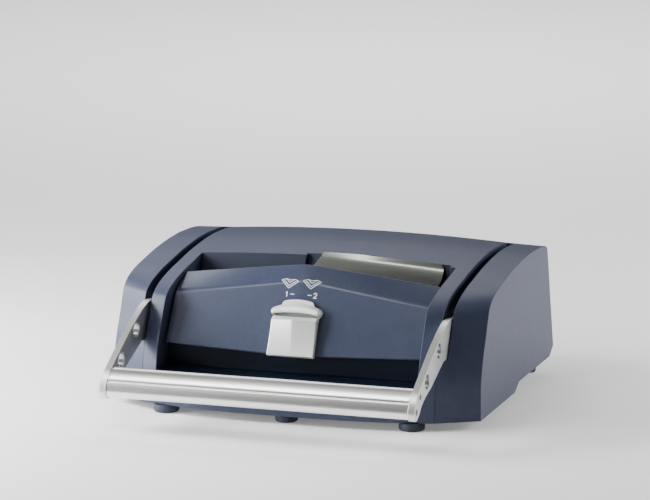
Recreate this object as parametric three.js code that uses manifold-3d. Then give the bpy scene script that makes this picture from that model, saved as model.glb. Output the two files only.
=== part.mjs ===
// Lever-operated binding machine: a crowned casing with two side cheeks, a front U handle that swings
// up through slots in the casing, and a press inside that closes a metal spine channel.
// Millimetres, +Z up, X across the machine, Y from the front of the casing to its back.

import * as THREE from 'three';
import { mergeVertices } from 'three/addons/utils/BufferGeometryUtils.js';
import Module from 'manifold-3d';

const wasm = await Module();
wasm.setup();

// Casing
const bodyWidth = 474;
const bodyDepth = 406;
const sideHeight = 177.5;
const groundGap = 10;
const rearLift = 10;
const heelSetback = 0.8;
const wall = 3;
const cheekReach = 49.5;
const crown = 7.5;
const noseBow = 22;
const armSlot = 11;
const cheekSweep = 29;
const cheekDrop = 2;
const edgeRound = 1.5;
const slotSillHeight = 86.2;

// Clearances
const seatGap = 0.3;
const runGap = 0.4;
const overrun = 2;

// Recess in the cover, and the tray below the front panel
const pillarWidth = 20;
const recessBack = 182;
const recessSlope = 14;
const recessFloor = 126;
const pocketStart = -28;
const pocketInset = 7.5;
const pocketDepth = 6;
const trayHeight = 52;
const trayBack = 57;
const trayFlange = 14;

// Front panel: the same three edges at its ends and at its middle ridge
const panelEndGap = 3;
const panelThickness = 3;
const panelEnd = { footY: 42, footZ: 82, creaseY: 81, creaseZ: 141, topY: 124, topZ: 158 };
const panelRidge = { footY: 39, footZ: 76, creaseY: 83, creaseZ: 162, topY: 104, topZ: 181 };
const pillarTop = 100;
const panelRidgeRound = 9;

// Guide plate in the right half of the recess
const plateStartGap = 8;
const plateEndGap = 7;
const plateThickness = 2;
const plateTopY = 181;
const plateHeight = 38;
const plateLean = 24;
const plateSlant = 13;
const plateStep = 1.2;
const plateHem = 14;

// Handle
const barOverhang = 1.5;
const barCentreY = -79;
const barCentreZ = 57;
const barTilt = 45;
const barLong = 44;
const barShort = 23;
const barGroove = 0.8;
const barGrooveWidth = 1.4;
const barGrooveAt = 5;
const armThickness = 8;
const pivotY = 277;
const pivotZ = 96;
const hubRadius = 24;
const armHole = 19;
const upperHole = { y: 7, z: 103.5 };
const lowerHole = { y: -43.4, z: 76.5 };
const screwSpacing = 21;
const screwHead = 8;
const screwShank = 4;
const screwLength = 22;

// Lever shaft, its bearings and the press cams
const shaftRadius = 11;
const shaftSquare = 15;
const bushWall = 3.6;
const bushFlange = 3;
const bushLength = 7;
const shaftHoleInCasing = 16;
const retainerHead = 13;
const retainerThickness = 3;
const retainerShank = 4;
const retainerDepth = 18;
const camBase = 14.3;
const camReach = 42;
const camTravel = 100;
const camWidth = 12;
const camHub = 16.5;
const camPlace = 100;

// Side frames
const frameInset = 10.5;
const frameThickness = 3;
const frameStart = 112;
const frameEnd = 312;
const frameFoot = 14;
const frameWindow = 20;

// Press
const jawInset = 5;
const jawHeight = 32;
const jawBottom = 92;
const fixedJawBack = 133;
const fixedJawDepth = 14;
const movingJawDepth = 20;
const jawOpening = 8;
const jawLip = 3;
const jawLipHeight = 6;
const guideRadius = 5;
const guideInset = 12;
const guideSeat = 9.5;
const pushRadius = 6;
const pushSeat = 10;
const padRadius = 13;
const padThickness = 6;
const beamFront = 200;
const beamDepth = 10;
const restDepth = 74;
const restFront = 118;
const restFlange = 13;
const restThickness = 2;
const restGap = 3;

// Return springs
const springWire = 2;
const springRadius = 9.5;
const springTurns = 4;

// Selector knob, in the plane of the lower facet
const knobPivot = 19.5;
const knobArch = 45.5;
const knobHalf = 31;
const knobBase = 9;
const knobBelow = 20;
const gripRidge = 15;
const gripFoot = 5.5;
const gripSide = 3.5;
const gripTop = 28;
const gripBevel = 5;
const spindleRadius = 3.5;
const spindleLength = 26;
const gearModule = 1.5;
const gearTeeth = 28;
const gearShown = 9;
const gearThickness = 5;
const gearDepth = 12;
const gearHub = 6.5;
const rackTeeth = 12;
const rackLength = 90;
const rackBack = 6;
const bracketThickness = 2;
const bracketWidth = 104;
const bracketHeight = 42;
const bracketPost = 4;
const postShoulderShare = 0.55;
const pressureAngle = 20;
const toothTipShare = 0.9;
const toothRootShare = 1.2;

// Feet
const frontFootRadius = 16;
const frontFootInset = 29.5;
const frontFootY = 26;
const middleFootRadius = 14;
const middleFootY = 22;
const rearFootRadius = 8;
const rearFootInset = 24;
const rearFootFromBack = 28.5;
const footTaper = 2;
const footStem = 4;
const footStemShare = 0.4;

// Derived places
const halfBody = bodyWidth / 2;
const halfCover = halfBody - cheekReach;
const cheekInner = halfCover + armSlot;
const halfRecess = halfCover - pillarWidth;
const halfPanel = halfRecess - panelEndGap;
const pocketEnd = halfRecess - pocketInset;
const plateStart = pocketStart + plateStartGap;
const plateEnd = pocketEnd - plateEndGap;
const barLength = 2 * (halfCover + barOverhang);
const armHoles = [upperHole, lowerHole];
const armInner = halfCover + (armSlot - armThickness) / 2 + seatGap;
const armOuter = armInner + armThickness;
const frameOuter = halfCover - frameInset;
const frameInner = frameOuter - frameThickness;
const spanHalf = frameInner - seatGap;
const jawHalf = frameInner - jawInset;
const guidePlace = frameInner - guideInset;
const pivotHole = shaftRadius + bushWall + seatGap;
const floorTop = groundGap + wall;
const pushZ = pivotZ + camBase;
const padBack = pivotY - camReach - seatGap;
const movingJawFront = fixedJawBack + jawOpening;
const movingJawBack = movingJawFront + movingJawDepth;
const facet = facetFrame();

// Height along the casing side, from front bottom to rear top, as shares of its depth and height:
// [depth, height, how much of the front sweep, how much of the crown]
const casingShares = [
  [0.002, 0.0, 1, 0], [0.0, 0.18, 1, 0], [0.005, 0.31, 1, 0], [0.025, 0.46, 1, 0], [0.051, 0.585, 1, 0],
  [0.085, 0.734, 0.95, 0], [0.113, 0.791, 0.85, 0.05], [0.176, 0.842, 0.6, 0.1], [0.27, 0.888, 0.3, 0.4],
  [0.375, 0.925, 0.1, 0.65], [0.475, 0.96, 0, 0.85], [0.596, 0.99, 0, 1], [0.684, 1.0, 0, 1],
  [0.76, 0.997, 0, 1], [0.822, 0.99, 0, 0.95], [0.88, 0.972, 0, 0.8], [0.905, 0.942, 0, 0.4],
  [0.914, 0.896, 0, 0],
];
const rearCornerShares = [1.0, 0.125];
const rearUndersideShares = [0.952, 0.572, 0.523];
const casingSteps = 34;
const coverStationShares = [0, 0.24, 0.48, 0.7, 0.893, 1];

// Colours, roughness and metalness
const looks = {
  casing: { color: 0x39435c, roughness: 0.5, metalness: 0 },
  dark: { color: 0x20242c, roughness: 0.6, metalness: 0 },
  silver: { color: 0xb9bbb6, roughness: 0.35, metalness: 0.6 },
  aluminium: { color: 0xc9ccd0, roughness: 0.3, metalness: 0.9 },
  steel: { color: 0x8d9196, roughness: 0.4, metalness: 0.9 },
  bronze: { color: 0xa98250, roughness: 0.45, metalness: 0.8 },
  rubber: { color: 0x1b1d22, roughness: 0.9, metalness: 0 },
};

// Solids and booleans

function toSolid(geometry) {
  const bare = geometry.clone();
  for (const name of Object.keys(bare.attributes)) {
    if (name !== 'position') bare.deleteAttribute(name);
  }
  const welded = mergeVertices(bare);
  return new wasm.Manifold(new wasm.Mesh({
    numProp: 3,
    vertProperties: new Float32Array(welded.attributes.position.array),
    triVerts: new Uint32Array(welded.index.array),
  }));
}

function toGeometry(solid) {
  const mesh = solid.getMesh();
  const geometry = new THREE.BufferGeometry();
  const places = mesh.vertProperties;
  geometry.setAttribute('position', new THREE.BufferAttribute(new Float32Array(places), mesh.numProp));
  geometry.setIndex(new THREE.BufferAttribute(new Uint32Array(mesh.triVerts), 1));
  geometry.computeVertexNormals();
  return geometry;
}

function join(...pieces) {
  return pieces.reduce((sum, piece) => sum.add(piece));
}

function cut(body, ...tools) {
  return tools.reduce((rest, tool) => rest.subtract(tool), body);
}

// Closed outlines in the Y-Z plane, joined from one X station to the next and capped at both ends

function loft(stations) {
  const flipped = THREE.ShapeUtils.area(vectors(stations[0].ring)) < 0;
  const rings = stations.map(({ ring }) => (flipped ? [...ring].reverse() : ring));
  const count = rings[0].length;
  const points = rings.flatMap((ring, s) => ring.flatMap(([y, z]) => [stations[s].x, y, z]));
  const faces = [];
  for (let s = 0; s + 1 < rings.length; s++) {
    for (let i = 0; i < count; i++) {
      const a = s * count + i;
      const b = s * count + ((i + 1) % count);
      faces.push(a, b, b + count, a, b + count, a + count);
    }
  }
  const last = (rings.length - 1) * count;
  for (const [a, b, c] of THREE.ShapeUtils.triangulateShape(vectors(rings[0]), [])) {
    faces.push(a, c, b);
  }
  for (const [a, b, c] of THREE.ShapeUtils.triangulateShape(vectors(rings[rings.length - 1]), [])) {
    faces.push(last + a, last + b, last + c);
  }
  const geometry = new THREE.BufferGeometry();
  geometry.setAttribute('position', new THREE.Float32BufferAttribute(points, 3));
  geometry.setIndex(faces);
  return toSolid(geometry);
}

function vectors(ring) {
  return ring.map(([y, z]) => new THREE.Vector2(y, z));
}

// A closed outline moved inwards by a distance, corner by corner
function insetRing(ring, distance) {
  const turn = THREE.ShapeUtils.isClockWise(vectors(ring)) ? -1 : 1;
  return ring.map((point, i) => {
    const before = ring[(i + ring.length - 1) % ring.length];
    const after = ring[(i + 1) % ring.length];
    return mitre(before, point, after, turn * distance);
  });
}

function mitre(before, point, after, distance) {
  const into = unit(point[0] - before[0], point[1] - before[1]);
  const out = unit(after[0] - point[0], after[1] - point[1]);
  const normal = unit(-(into[1] + out[1]), into[0] + out[0]);
  const share = distance / Math.max(0.35, -normal[0] * into[1] + normal[1] * into[0]);
  return [point[0] + normal[0] * share, point[1] + normal[1] * share];
}

function unit(y, z) {
  const size = Math.hypot(y, z) || 1;
  return [y / size, z / size];
}

// A bent strip: an open line and the same line moved to its right by the thickness
function ribbon(line, thickness) {
  const moved = line.map((point, i) => {
    const before = line[i - 1] ?? [2 * point[0] - line[i + 1][0], 2 * point[1] - line[i + 1][1]];
    const after = line[i + 1] ?? [2 * point[0] - line[i - 1][0], 2 * point[1] - line[i - 1][1]];
    return mitre(before, point, after, -thickness);
  });
  return [...line, ...moved.reverse()];
}

// Extruded and turned pieces

const alongX = new THREE.Matrix4().makeBasis(
  new THREE.Vector3(0, 1, 0), new THREE.Vector3(0, 0, 1), new THREE.Vector3(1, 0, 0));

function outlineOf(points) {
  return new THREE.Shape(points.map(([a, b]) => new THREE.Vector2(a, b)));
}

function plate(shape, fromX, toX, curveSegments = 16) {
  const depth = toX - fromX;
  const geometry = new THREE.ExtrudeGeometry(shape, { depth, bevelEnabled: false, curveSegments });
  geometry.applyMatrix4(alongX);
  geometry.translate(fromX, 0, 0);
  return toSolid(geometry);
}

function plateOf(points, fromX, toX) {
  return plate(outlineOf(points), fromX, toX);
}

function block(x, y, z) {
  const geometry = new THREE.BoxGeometry(x[1] - x[0], y[1] - y[0], z[1] - z[0]);
  geometry.translate((x[0] + x[1]) / 2, (y[0] + y[1]) / 2, (z[0] + z[1]) / 2);
  return toSolid(geometry);
}

// A turned piece: pairs of [radius, distance along the axis], axis along 'x', 'y' or 'z'
function turned(profile, axis, segments = 24) {
  const closed = [...profile, profile[0]];
  const geometry = new THREE.LatheGeometry(closed.map(([r, h]) => new THREE.Vector2(r, h)), segments);
  if (axis === 'z') geometry.rotateX(Math.PI / 2);
  if (axis === 'x') geometry.rotateZ(-Math.PI / 2);
  return toSolid(geometry);
}

function rod(radius, from, to, axis, segments = 24) {
  return turned([[0, from], [radius, from], [radius, to], [0, to]], axis, segments);
}

function moved(solid, x, y, z) {
  return solid.translate([x, y, z]);
}

// A round space about the lever shaft's axis
function shaftBore(radius, from, to) {
  return moved(rod(radius, from, to, 'x', 32), 0, pivotY, pivotZ);
}

// The right-hand piece, or its mirror image for the left
function handed(solid, side) {
  return side > 0 ? solid : solid.mirror([1, 0, 0]);
}

// Casing surface

function frontSweep(x) {
  const reach = Math.abs(x) / halfCover;
  if (reach <= 1) return noseBow * reach ** 3;
  return noseBow + (cheekSweep * (Math.abs(x) - halfCover)) / (halfBody - halfCover);
}

function domeAt(x) {
  const reach = Math.abs(x) / halfCover;
  if (reach <= 1) return crown * (1 - reach ** 2);
  return (-cheekDrop * (Math.abs(x) - halfCover)) / (halfBody - halfCover);
}

function casingPoint(shares, x) {
  const [depth, height, sweep, dome] = shares;
  return new THREE.Vector2(
    depth * bodyDepth + sweep * frontSweep(x),
    groundGap + height * (sideHeight - groundGap) + dome * domeAt(x));
}

function casingLine(x) {
  const curve = new THREE.SplineCurve(casingShares.map((shares) => casingPoint(shares, x)));
  return curve.getPoints(casingSteps).map((point) => [point.x, point.y]);
}

function casingRing(x) {
  const [rearDepth, rearHeight] = rearCornerShares;
  const [heel, stepBack, stepFront] = rearUndersideShares.map((share) => share * bodyDepth);
  return [
    ...casingLine(x),
    [rearDepth * bodyDepth, groundGap + rearHeight * (sideHeight - groundGap)],
    [heel, groundGap + rearLift],
    [stepBack, groundGap + rearLift],
    [stepFront, groundGap],
  ];
}

// The space inside a casing shell, open at the underside
function hollowRing(x) {
  const ring = insetRing(casingRing(x), wall);
  const lowered = ([y, z]) => [y, z - wall - overrun];
  const heel = ring.length - 3;
  return [lowered(ring[0]), ...ring.slice(1, heel + 1), ...ring.slice(heel).map(lowered)];
}

function casingHeight(y, x) {
  const line = casingLine(x);
  for (let i = 1; i < line.length; i++) {
    if (line[i][0] >= y) {
      const share = (y - line[i - 1][0]) / (line[i][0] - line[i - 1][0]);
      return line[i - 1][1] + share * (line[i][1] - line[i - 1][1]);
    }
  }
  return line[line.length - 1][1];
}

function mirrored(shares) {
  return [...shares.slice(1).reverse().map((share) => -share), ...shares];
}

// The floor plate and the space it needs
function floorRing(x, gap) {
  const front = casingPoint(casingShares[0], x).x + wall + seatGap - gap;
  const [heel, stepBack, stepFront] = rearUndersideShares.map((share) => share * bodyDepth);
  const back = heel - heelSetback - seatGap + gap;
  const bottom = gap > 0 ? overrun : 0;
  return [
    [front, groundGap - bottom], [front, floorTop + gap], [stepFront, floorTop + gap],
    [stepBack, floorTop + rearLift + gap], [back, floorTop + rearLift + gap],
    [back, groundGap + rearLift - bottom], [stepBack, groundGap + rearLift - bottom],
    [stepFront, groundGap - bottom],
  ];
}

function floorSlab(gap) {
  const side = halfBody - wall - seatGap + gap;
  const places = [...mirrored(coverStationShares).map((share) => share * halfCover), side];
  return loft([-side, ...places].map((x) => ({ x, ring: floorRing(x, gap) })));
}

// Top cover

function coverStations(ringAt, inset) {
  const reach = halfCover - inset;
  return mirrored(coverStationShares).map((share) => ({ x: share * reach, ring: ringAt(share * reach) }));
}

function roundedCover() {
  const stations = coverStations(casingRing, edgeRound);
  const end = (side) => ({ x: side * halfCover, ring: insetRing(casingRing(side * halfCover), edgeRound) });
  return loft([end(-1), ...stations, end(1)]);
}

function recessLine(back) {
  const high = sideHeight + crown + overrun;
  const slope = recessSlope / (casingHeight(recessBack, halfRecess) - recessFloor);
  const foot = back - recessSlope;
  return [[foot, recessFloor], [foot + slope * (high - recessFloor), high]];
}

function recessTool(back, fromX, toX) {
  const [low, high] = recessLine(back);
  const front = -bodyDepth;
  return plateOf([[front, -overrun], [low[0], -overrun], low, high, [front, high[1]]], fromX, toX);
}

function makeTopCover() {
  const outer = roundedCover();
  const inner = loft(coverStations(hollowRing, wall));
  const shell = cut(outer, inner, floorSlab(seatGap));
  const opened = cut(shell,
    recessTool(recessBack, -halfRecess, halfRecess),
    recessTool(recessBack + pocketDepth, pocketStart, pocketEnd));
  const walls = cut(join(...recessWalls()).intersect(outer), floorSlab(seatGap));
  const shaftHole = shaftBore(shaftHoleInCasing, -halfBody, halfBody);
  return cut(join(opened, walls), shaftHole);
}

// Walls that line the recess: two pillars in front, and the sloped back wall with its pocket
function recessWalls() {
  const backWall = (back, fromX, toX) => plateOf(ribbon(recessLine(back), wall), fromX, toX);
  const outerEdge = halfRecess + wall;
  const [low, high] = recessLine(recessBack);
  const pillar = [
    [-overrun, groundGap], [trayBack, groundGap], [trayBack, pillarTop], [panelEnd.creaseY, recessFloor],
    low, high, [-overrun, high[1]],
  ];
  const [pocketLow, pocketHigh] = recessLine(recessBack + pocketDepth);
  const cheekOfPocket = [low, pocketLow, pocketHigh, high];
  return [
    plateOf(pillar, halfRecess, outerEdge),
    plateOf(pillar, -outerEdge, -halfRecess),
    backWall(recessBack, -outerEdge, pocketStart),
    backWall(recessBack + pocketDepth, pocketStart - wall, pocketEnd + wall),
    backWall(recessBack, pocketEnd, outerEdge),
    plateOf(cheekOfPocket, pocketStart - wall, pocketStart),
    plateOf(cheekOfPocket, pocketEnd, pocketEnd + wall),
  ];
}

// Side cheeks

function makeCheek(side) {
  const stations = [
    { x: cheekInner, inset: edgeRound },
    { x: cheekInner + edgeRound, inset: 0 },
    { x: halfBody - edgeRound, inset: 0 },
    { x: halfBody, inset: edgeRound },
  ];
  const outer = loft(stations.map(({ x, inset }) => ({ x, ring: insetRing(casingRing(x), inset) })));
  const hollow = [cheekInner + wall, halfBody - wall];
  const inner = loft(hollow.map((x) => ({ x, ring: hollowRing(x) })));
  const shaftHole = shaftBore(shaftHoleInCasing, halfCover, cheekInner + wall + overrun);
  const shell = cut(outer, inner, floorSlab(seatGap), shaftHole);
  const cheek = join(shell, slotSill(), slotBack());
  return handed(cheek, side);
}

// Closes the arm slot below the arm, at the front of the casing
function slotSill() {
  const line = (x) => casingLine(x).filter(([, z]) => z < slotSillHeight);
  const count = Math.min(line(halfCover).length, line(cheekInner).length);
  const station = (x) => {
    const front = line(x).slice(0, count - 1);
    const low = front[front.length - 1];
    const rise = (slotSillHeight - low[1]) * Math.tan(Math.PI / 8);
    return { x, ring: ribbon([...front, [low[0] + rise, slotSillHeight]], wall) };
  };
  return cut(loft([station(halfCover + seatGap), station(cheekInner + wall)]), floorSlab(seatGap));
}

// Closes the arm slot down the back of the casing
function slotBack() {
  const [rearDepth, rearHeight] = rearCornerShares;
  const top = casingPoint(casingShares[casingShares.length - 1], cheekInner);
  const line = [[top.x, top.y], [rearDepth * bodyDepth, groundGap + rearHeight * (sideHeight - groundGap)]];
  return loft([halfCover + seatGap, cheekInner + wall].map((x) => ({ x, ring: ribbon(line, wall) })));
}

// Base: floor plate, front wall, tray ledge, tray back wall and foot seats

function makeBase() {
  const side = halfRecess - seatGap;
  const section = (x) => {
    const sweep = frontSweep(x);
    const nose = casingPoint(casingShares[1], x);
    const low = casingPoint(casingShares[0], x);
    return ribbon([
      [sweep + trayFlange, groundGap], [low.x, low.y], [nose.x, nose.y],
      [nose.x + seatGap, trayHeight], [trayBack, trayHeight], [trayBack, panelFoot(x) - seatGap],
    ], wall);
  };
  const places = mirrored(coverStationShares.slice(0, -1)).map((share) => share * halfCover);
  const stations = [-side, ...places.slice(1, -1), side].map((x) => ({ x, ring: section(x) }));
  const seats = feet().map(({ radius, x, y, floor }) => {
    const reach = radius * footStemShare + seatGap;
    return moved(rod(reach, groundGap - overrun, floor + footStem + seatGap, 'z', 16), x, y, 0);
  });
  const bosses = feet().map(({ radius, x, y, floor }) => {
    return moved(rod(radius * footStemShare + wall, floor, floor + footStem + wall, 'z', 16), x, y, 0);
  });
  return cut(join(floorSlab(0), loft(stations), ...bosses), ...seats);
}

function panelFoot(x) {
  return panelRidge.footZ + ((panelEnd.footZ - panelRidge.footZ) * Math.abs(x)) / halfPanel;
}

function feet() {
  const floor = groundGap;
  const front = { radius: frontFootRadius, x: halfCover - frontFootInset, y: frontFootY, floor };
  const middle = { name: 'middle_front_foot', radius: middleFootRadius, x: 0, y: middleFootY, floor };
  const rear = {
    radius: rearFootRadius,
    x: halfBody - rearFootInset,
    y: bodyDepth - rearFootFromBack,
    floor: floor + rearLift,
  };
  const pair = (name, foot) => [
    { name: `left_${name}`, ...foot, x: -foot.x },
    { name: `right_${name}`, ...foot },
  ];
  return [...pair('front_foot', front), middle, ...pair('rear_foot', rear)];
}

function makeFoot({ radius, x, y, floor }) {
  const top = floor - seatGap;
  const stem = radius * footStemShare;
  const stemTop = top + footStem;
  const profile = [
    [0, 0], [radius - footTaper, 0], [radius, footTaper], [radius, top],
    [stem, top], [stem, stemTop], [0, stemTop],
  ];
  return moved(turned(profile, 'z'), x, y, 0);
}

// Front panel: four facets that meet at a middle ridge and a crease, with a foot return and a slot wall

function panelSection(share) {
  const mix = (key) => panelRidge[key] + (panelEnd[key] - panelRidge[key]) * share;
  const foot = [mix('footY'), mix('footZ')];
  const footBack = [trayBack + wall, foot[1]];
  const slotFront = fixedJawBack - jawLipHeight;
  return ribbon([
    footBack, foot, [mix('creaseY'), mix('creaseZ')], [mix('topY'), mix('topZ')],
    [slotFront, jawTop() + panelThickness],
  ], panelThickness);
}

function makeFrontPanel() {
  const roundShare = panelRidgeRound / halfPanel;
  const shares = [0, roundShare, 1];
  const soft = (share) => (share === 0 ? roundShare / 4 : share);
  const stations = mirrored(shares).map((share) => {
    return { x: share * halfPanel, ring: panelSection(soft(Math.abs(share))) };
  });
  const spindleHole = onFacet(rod(spindleRadius + runGap, -spindleLength, spindleLength, 'z'), knobPivot, 0);
  const posts = bracketPosts().map((x) => onFacet(moved(postHole(), x, 0, 0), bracketMiddle(), 0));
  return cut(loft(stations), spindleHole, ...posts);
}

// Guide plate: a bent sheet that follows the crown, with a slanted left end

function makeGuidePlate() {
  const bends = [[0.16, 0], [0.42, 0.1], [0.68, 0.36], [0.88, 0.7], [1, 1]];
  const [wallLow, wallHigh] = recessLine(recessBack + pocketDepth);
  const wallRun = (wallHigh[0] - wallLow[0]) / (wallHigh[1] - wallLow[1]);
  const wallAt = (z) => wallLow[0] + (z - wallLow[1]) * wallRun - seatGap - plateThickness;
  const section = (x) => {
    const top = casingHeight(plateTopY, x) - plateStep;
    const hem = top - plateHem;
    const crest = top - plateThickness;
    const line = bends.map(([lean, drop]) => [wallAt(top) - lean * plateLean, top - drop * plateHeight]);
    return { x, ring: ribbon([[wallAt(hem), hem], [wallAt(crest), crest], ...line], plateThickness) };
  };
  const shares = [0, 0.25, 0.5, 0.75, 1];
  const sheet = loft(shares.map((share) => section(plateStart + share * (plateEnd - plateStart))));
  const slope = outlineOf([
    [plateStart - overrun, -plateHeight], [plateStart, -plateHeight / 2], [plateStart + plateSlant, 0],
    [plateStart + plateSlant, plateHeight], [plateStart - overrun, plateHeight],
  ]);
  const tool = new THREE.ExtrudeGeometry(slope, { depth: plateHeight * 2, bevelEnabled: false });
  tool.rotateX(Math.PI / 2);
  tool.translate(0, recessBack + plateHeight, casingHeight(plateTopY, plateStart));
  return cut(sheet, toSolid(tool));
}

// Handle

function barOutline() {
  const steps = 32;
  const outline = [];
  for (let i = 0; i < steps; i++) {
    const angle = (2 * Math.PI * i) / steps;
    outline.push(tilted([(barLong / 2) * Math.cos(angle), (barShort / 2) * Math.sin(angle)]));
  }
  return outline;
}

function tilted([u, v]) {
  const angle = THREE.MathUtils.degToRad(barTilt);
  return [
    barCentreY + u * Math.cos(angle) - v * Math.sin(angle),
    barCentreZ + u * Math.sin(angle) + v * Math.cos(angle),
  ];
}

function makeBar() {
  const half = barLength / 2;
  const grip = plateOf(barOutline(), -half, half);
  const low = -barGrooveAt - barGrooveWidth / 2;
  const high = -barGrooveAt + barGrooveWidth / 2;
  const inside = (barShort / 2) * Math.sqrt(1 - (2 * barGrooveAt / barLong) ** 2) - barGroove;
  const outside = barShort / 2 + overrun;
  const corners = [[low, inside], [high, inside], [high, outside], [low, outside]];
  const groove = plateOf(corners.map(tilted), -half, half);
  const holes = screwPlaces().flatMap(([y, z]) => [-1, 1].map((side) => {
    const hole = rod(screwShank / 2 + seatGap, half - screwLength, half + overrun, 'x', 12);
    return moved(handed(hole, side), 0, y, z);
  }));
  return cut(grip, groove, ...holes);
}

function screwPlaces() {
  return [tilted([-screwSpacing / 2, 0]), tilted([screwSpacing / 2, 0])];
}

// The arm follows the casing's front edge, bends over the sill and runs level to its hub
function armOutline() {
  const entry = slotSillHeight + seatGap;
  const upperShares = [[0.135, 0.78], [0.3, 0.82], [0.55, 0.64], [0.8, 0.28]];
  const reach = pivotY - trayBack;
  const level = entry + hubRadius * 0.9;
  const rise = (sideHeight - entry - hubRadius) * 0.4;
  const shape = new THREE.Shape();
  const tip = tilted([-barLong / 2, 0]);
  const front = tilted([-barLong / 4, barShort * 0.44]);
  const upper = tilted([barLong * 0.28, barShort * 0.43]);
  shape.moveTo(...tip);
  shape.quadraticCurveTo(...tilted([-barLong / 2, barShort * 0.28]), ...front);
  shape.quadraticCurveTo(...tilted([0, barShort * 0.56]), ...upper);
  shape.splineThru([
    [armHoles[1].y - armHole * 0.45, armHoles[1].z + armHole * 0.53],
    [armHoles[0].y - armHole * 0.5, armHoles[0].z + armHole * 0.47],
    [trayBack - armHole * 0.5, pivotZ + hubRadius * 1.45],
    ...upperShares.map(([along, up]) => [trayBack + along * reach, level + up * rise]),
    [pivotY - hubRadius / 3, pivotZ + hubRadius * 0.98],
  ].map(([y, z]) => new THREE.Vector2(y, z)));
  shape.absarc(pivotY, pivotZ, hubRadius, Math.PI / 2, -Math.PI / 2, true);
  shape.lineTo(pivotY - hubRadius * 2, pivotZ - hubRadius * 0.8);
  shape.lineTo(trayBack + armHole, entry);
  shape.lineTo(armHoles[0].y + armHole, entry + seatGap);
  shape.lineTo(armHoles[1].y + armHole * 0.9, armHoles[1].z - armHole * 0.55);
  shape.quadraticCurveTo(...tilted([barLong * 0.3, -barShort * 0.5]), ...tilted([0, -barShort * 0.5]));
  shape.quadraticCurveTo(...tilted([-barLong / 2, -barShort * 0.45]), ...tip);
  return thinned(shape);
}

// The same outline without points that lie closer together than the seat gap
function thinned(shape) {
  const kept = [];
  for (const point of shape.getPoints(8)) {
    const last = kept[kept.length - 1];
    if (!last || last.distanceTo(point) > seatGap) kept.push(point);
  }
  while (kept[0].distanceTo(kept[kept.length - 1]) < seatGap) kept.pop();
  return new THREE.Shape(kept);
}

function makeArm(side) {
  const arm = plate(armOutline(), armInner, armOuter);
  const half = shaftSquare / 2 + seatGap;
  const square = block([0, halfBody], [pivotY - half, pivotY + half], [pivotZ - half, pivotZ + half]);
  const holes = armHoles.map(({ y, z }) => moved(rod(armHole / 2, 0, halfBody, 'x', 40), 0, y, z));
  const sinks = screwPlaces().map(([y, z]) => {
    return moved(join(rod(screwShank / 2 + seatGap, 0, halfBody, 'x', 16), screwCone(seatGap)), 0, y, z);
  });
  const solid = cut(arm, square, ...holes, ...sinks);
  return handed(solid, side);
}

function screwCone(gap) {
  const deep = armOuter - (screwHead - screwShank) / 2 - gap;
  const past = gap > 0 ? overrun : 0;
  return turned([
    [0, deep], [screwShank / 2 + gap, deep], [screwHead / 2 + gap, armOuter - gap / 2],
    [screwHead / 2 + gap, armOuter + past], [0, armOuter + past],
  ], 'x', 16);
}

function makeScrew(side, [y, z]) {
  const head = screwCone(0);
  const shankEnd = barLength / 2 - screwLength + seatGap;
  const shank = rod(screwShank / 2, shankEnd, armOuter - screwHead / 8, 'x', 16);
  const socket = rod(screwShank / 2, armOuter - screwShank / 4, armOuter + overrun, 'x', 6);
  const solid = moved(cut(join(head, shank), socket), 0, y, z);
  return handed(solid, side);
}

// Lever shaft, bearings, retainers and cams

function makeShaft() {
  const round = rod(shaftRadius, -armInner + runGap, armInner - runGap, 'x', 32);
  const half = shaftSquare / 2;
  const square = block([-armOuter + seatGap, armOuter - seatGap], [-half, half], [-half, half]);
  const bore = rod(retainerShank + seatGap, armOuter - retainerDepth - seatGap, armOuter + overrun, 'x', 16);
  const bores = [handed(bore, 1), handed(bore, -1)];
  return moved(cut(join(round, square), ...bores), 0, pivotY, pivotZ);
}

function makeBush(side) {
  const bore = shaftRadius + seatGap;
  const outer = shaftRadius + bushWall;
  const profile = [
    [bore, frameInner - bushFlange - seatGap], [outer + bushFlange, frameInner - bushFlange - seatGap],
    [outer + bushFlange, frameInner - seatGap], [outer, frameInner - seatGap],
    [outer, frameInner + bushLength], [bore, frameInner + bushLength],
  ];
  const bush = moved(turned(profile, 'x', 32), 0, pivotY, pivotZ);
  return handed(bush, side);
}

function makeRetainer(side) {
  const face = armOuter + seatGap;
  const profile = [
    [0, armOuter - retainerDepth], [retainerShank, armOuter - retainerDepth], [retainerShank, face],
    [retainerHead, face], [retainerHead, face + retainerThickness], [0, face + retainerThickness],
  ];
  const socket = rod(retainerShank, face + retainerThickness / 2, face + retainerThickness + overrun, 'x', 6);
  const solid = moved(cut(turned(profile, 'x'), socket), 0, pivotY, pivotZ);
  return handed(solid, side);
}

// Cam flank: the involute of a circle, so that a flat pad moves in proportion to the handle's turn
function makeCam(side) {
  const last = camReach / camBase;
  const first = last - THREE.MathUtils.degToRad(camTravel);
  const steps = 14;
  const outline = [];
  for (let i = 0; i <= steps; i++) {
    const wrap = first + ((last - first) * i) / steps;
    const tangent = Math.PI / 2 - (last - wrap);
    const forward = camBase * (Math.cos(tangent) + wrap * Math.sin(tangent));
    const up = camBase * (Math.sin(tangent) - wrap * Math.cos(tangent));
    outline.push([pivotY - forward, pivotZ + up]);
  }
  const hubStart = Math.PI / 2;
  const hubSweep = Math.PI;
  for (let i = 0; i <= steps; i++) {
    const angle = hubStart - (hubSweep * i) / steps;
    outline.push([pivotY + camHub * Math.cos(angle), pivotZ + camHub * Math.sin(angle)]);
  }
  const middle = side * camPlace;
  const bore = shaftBore(shaftRadius + seatGap, -halfBody, halfBody);
  return cut(plateOf(outline, middle - camWidth / 2, middle + camWidth / 2), bore);
}

// Side frames

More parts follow.
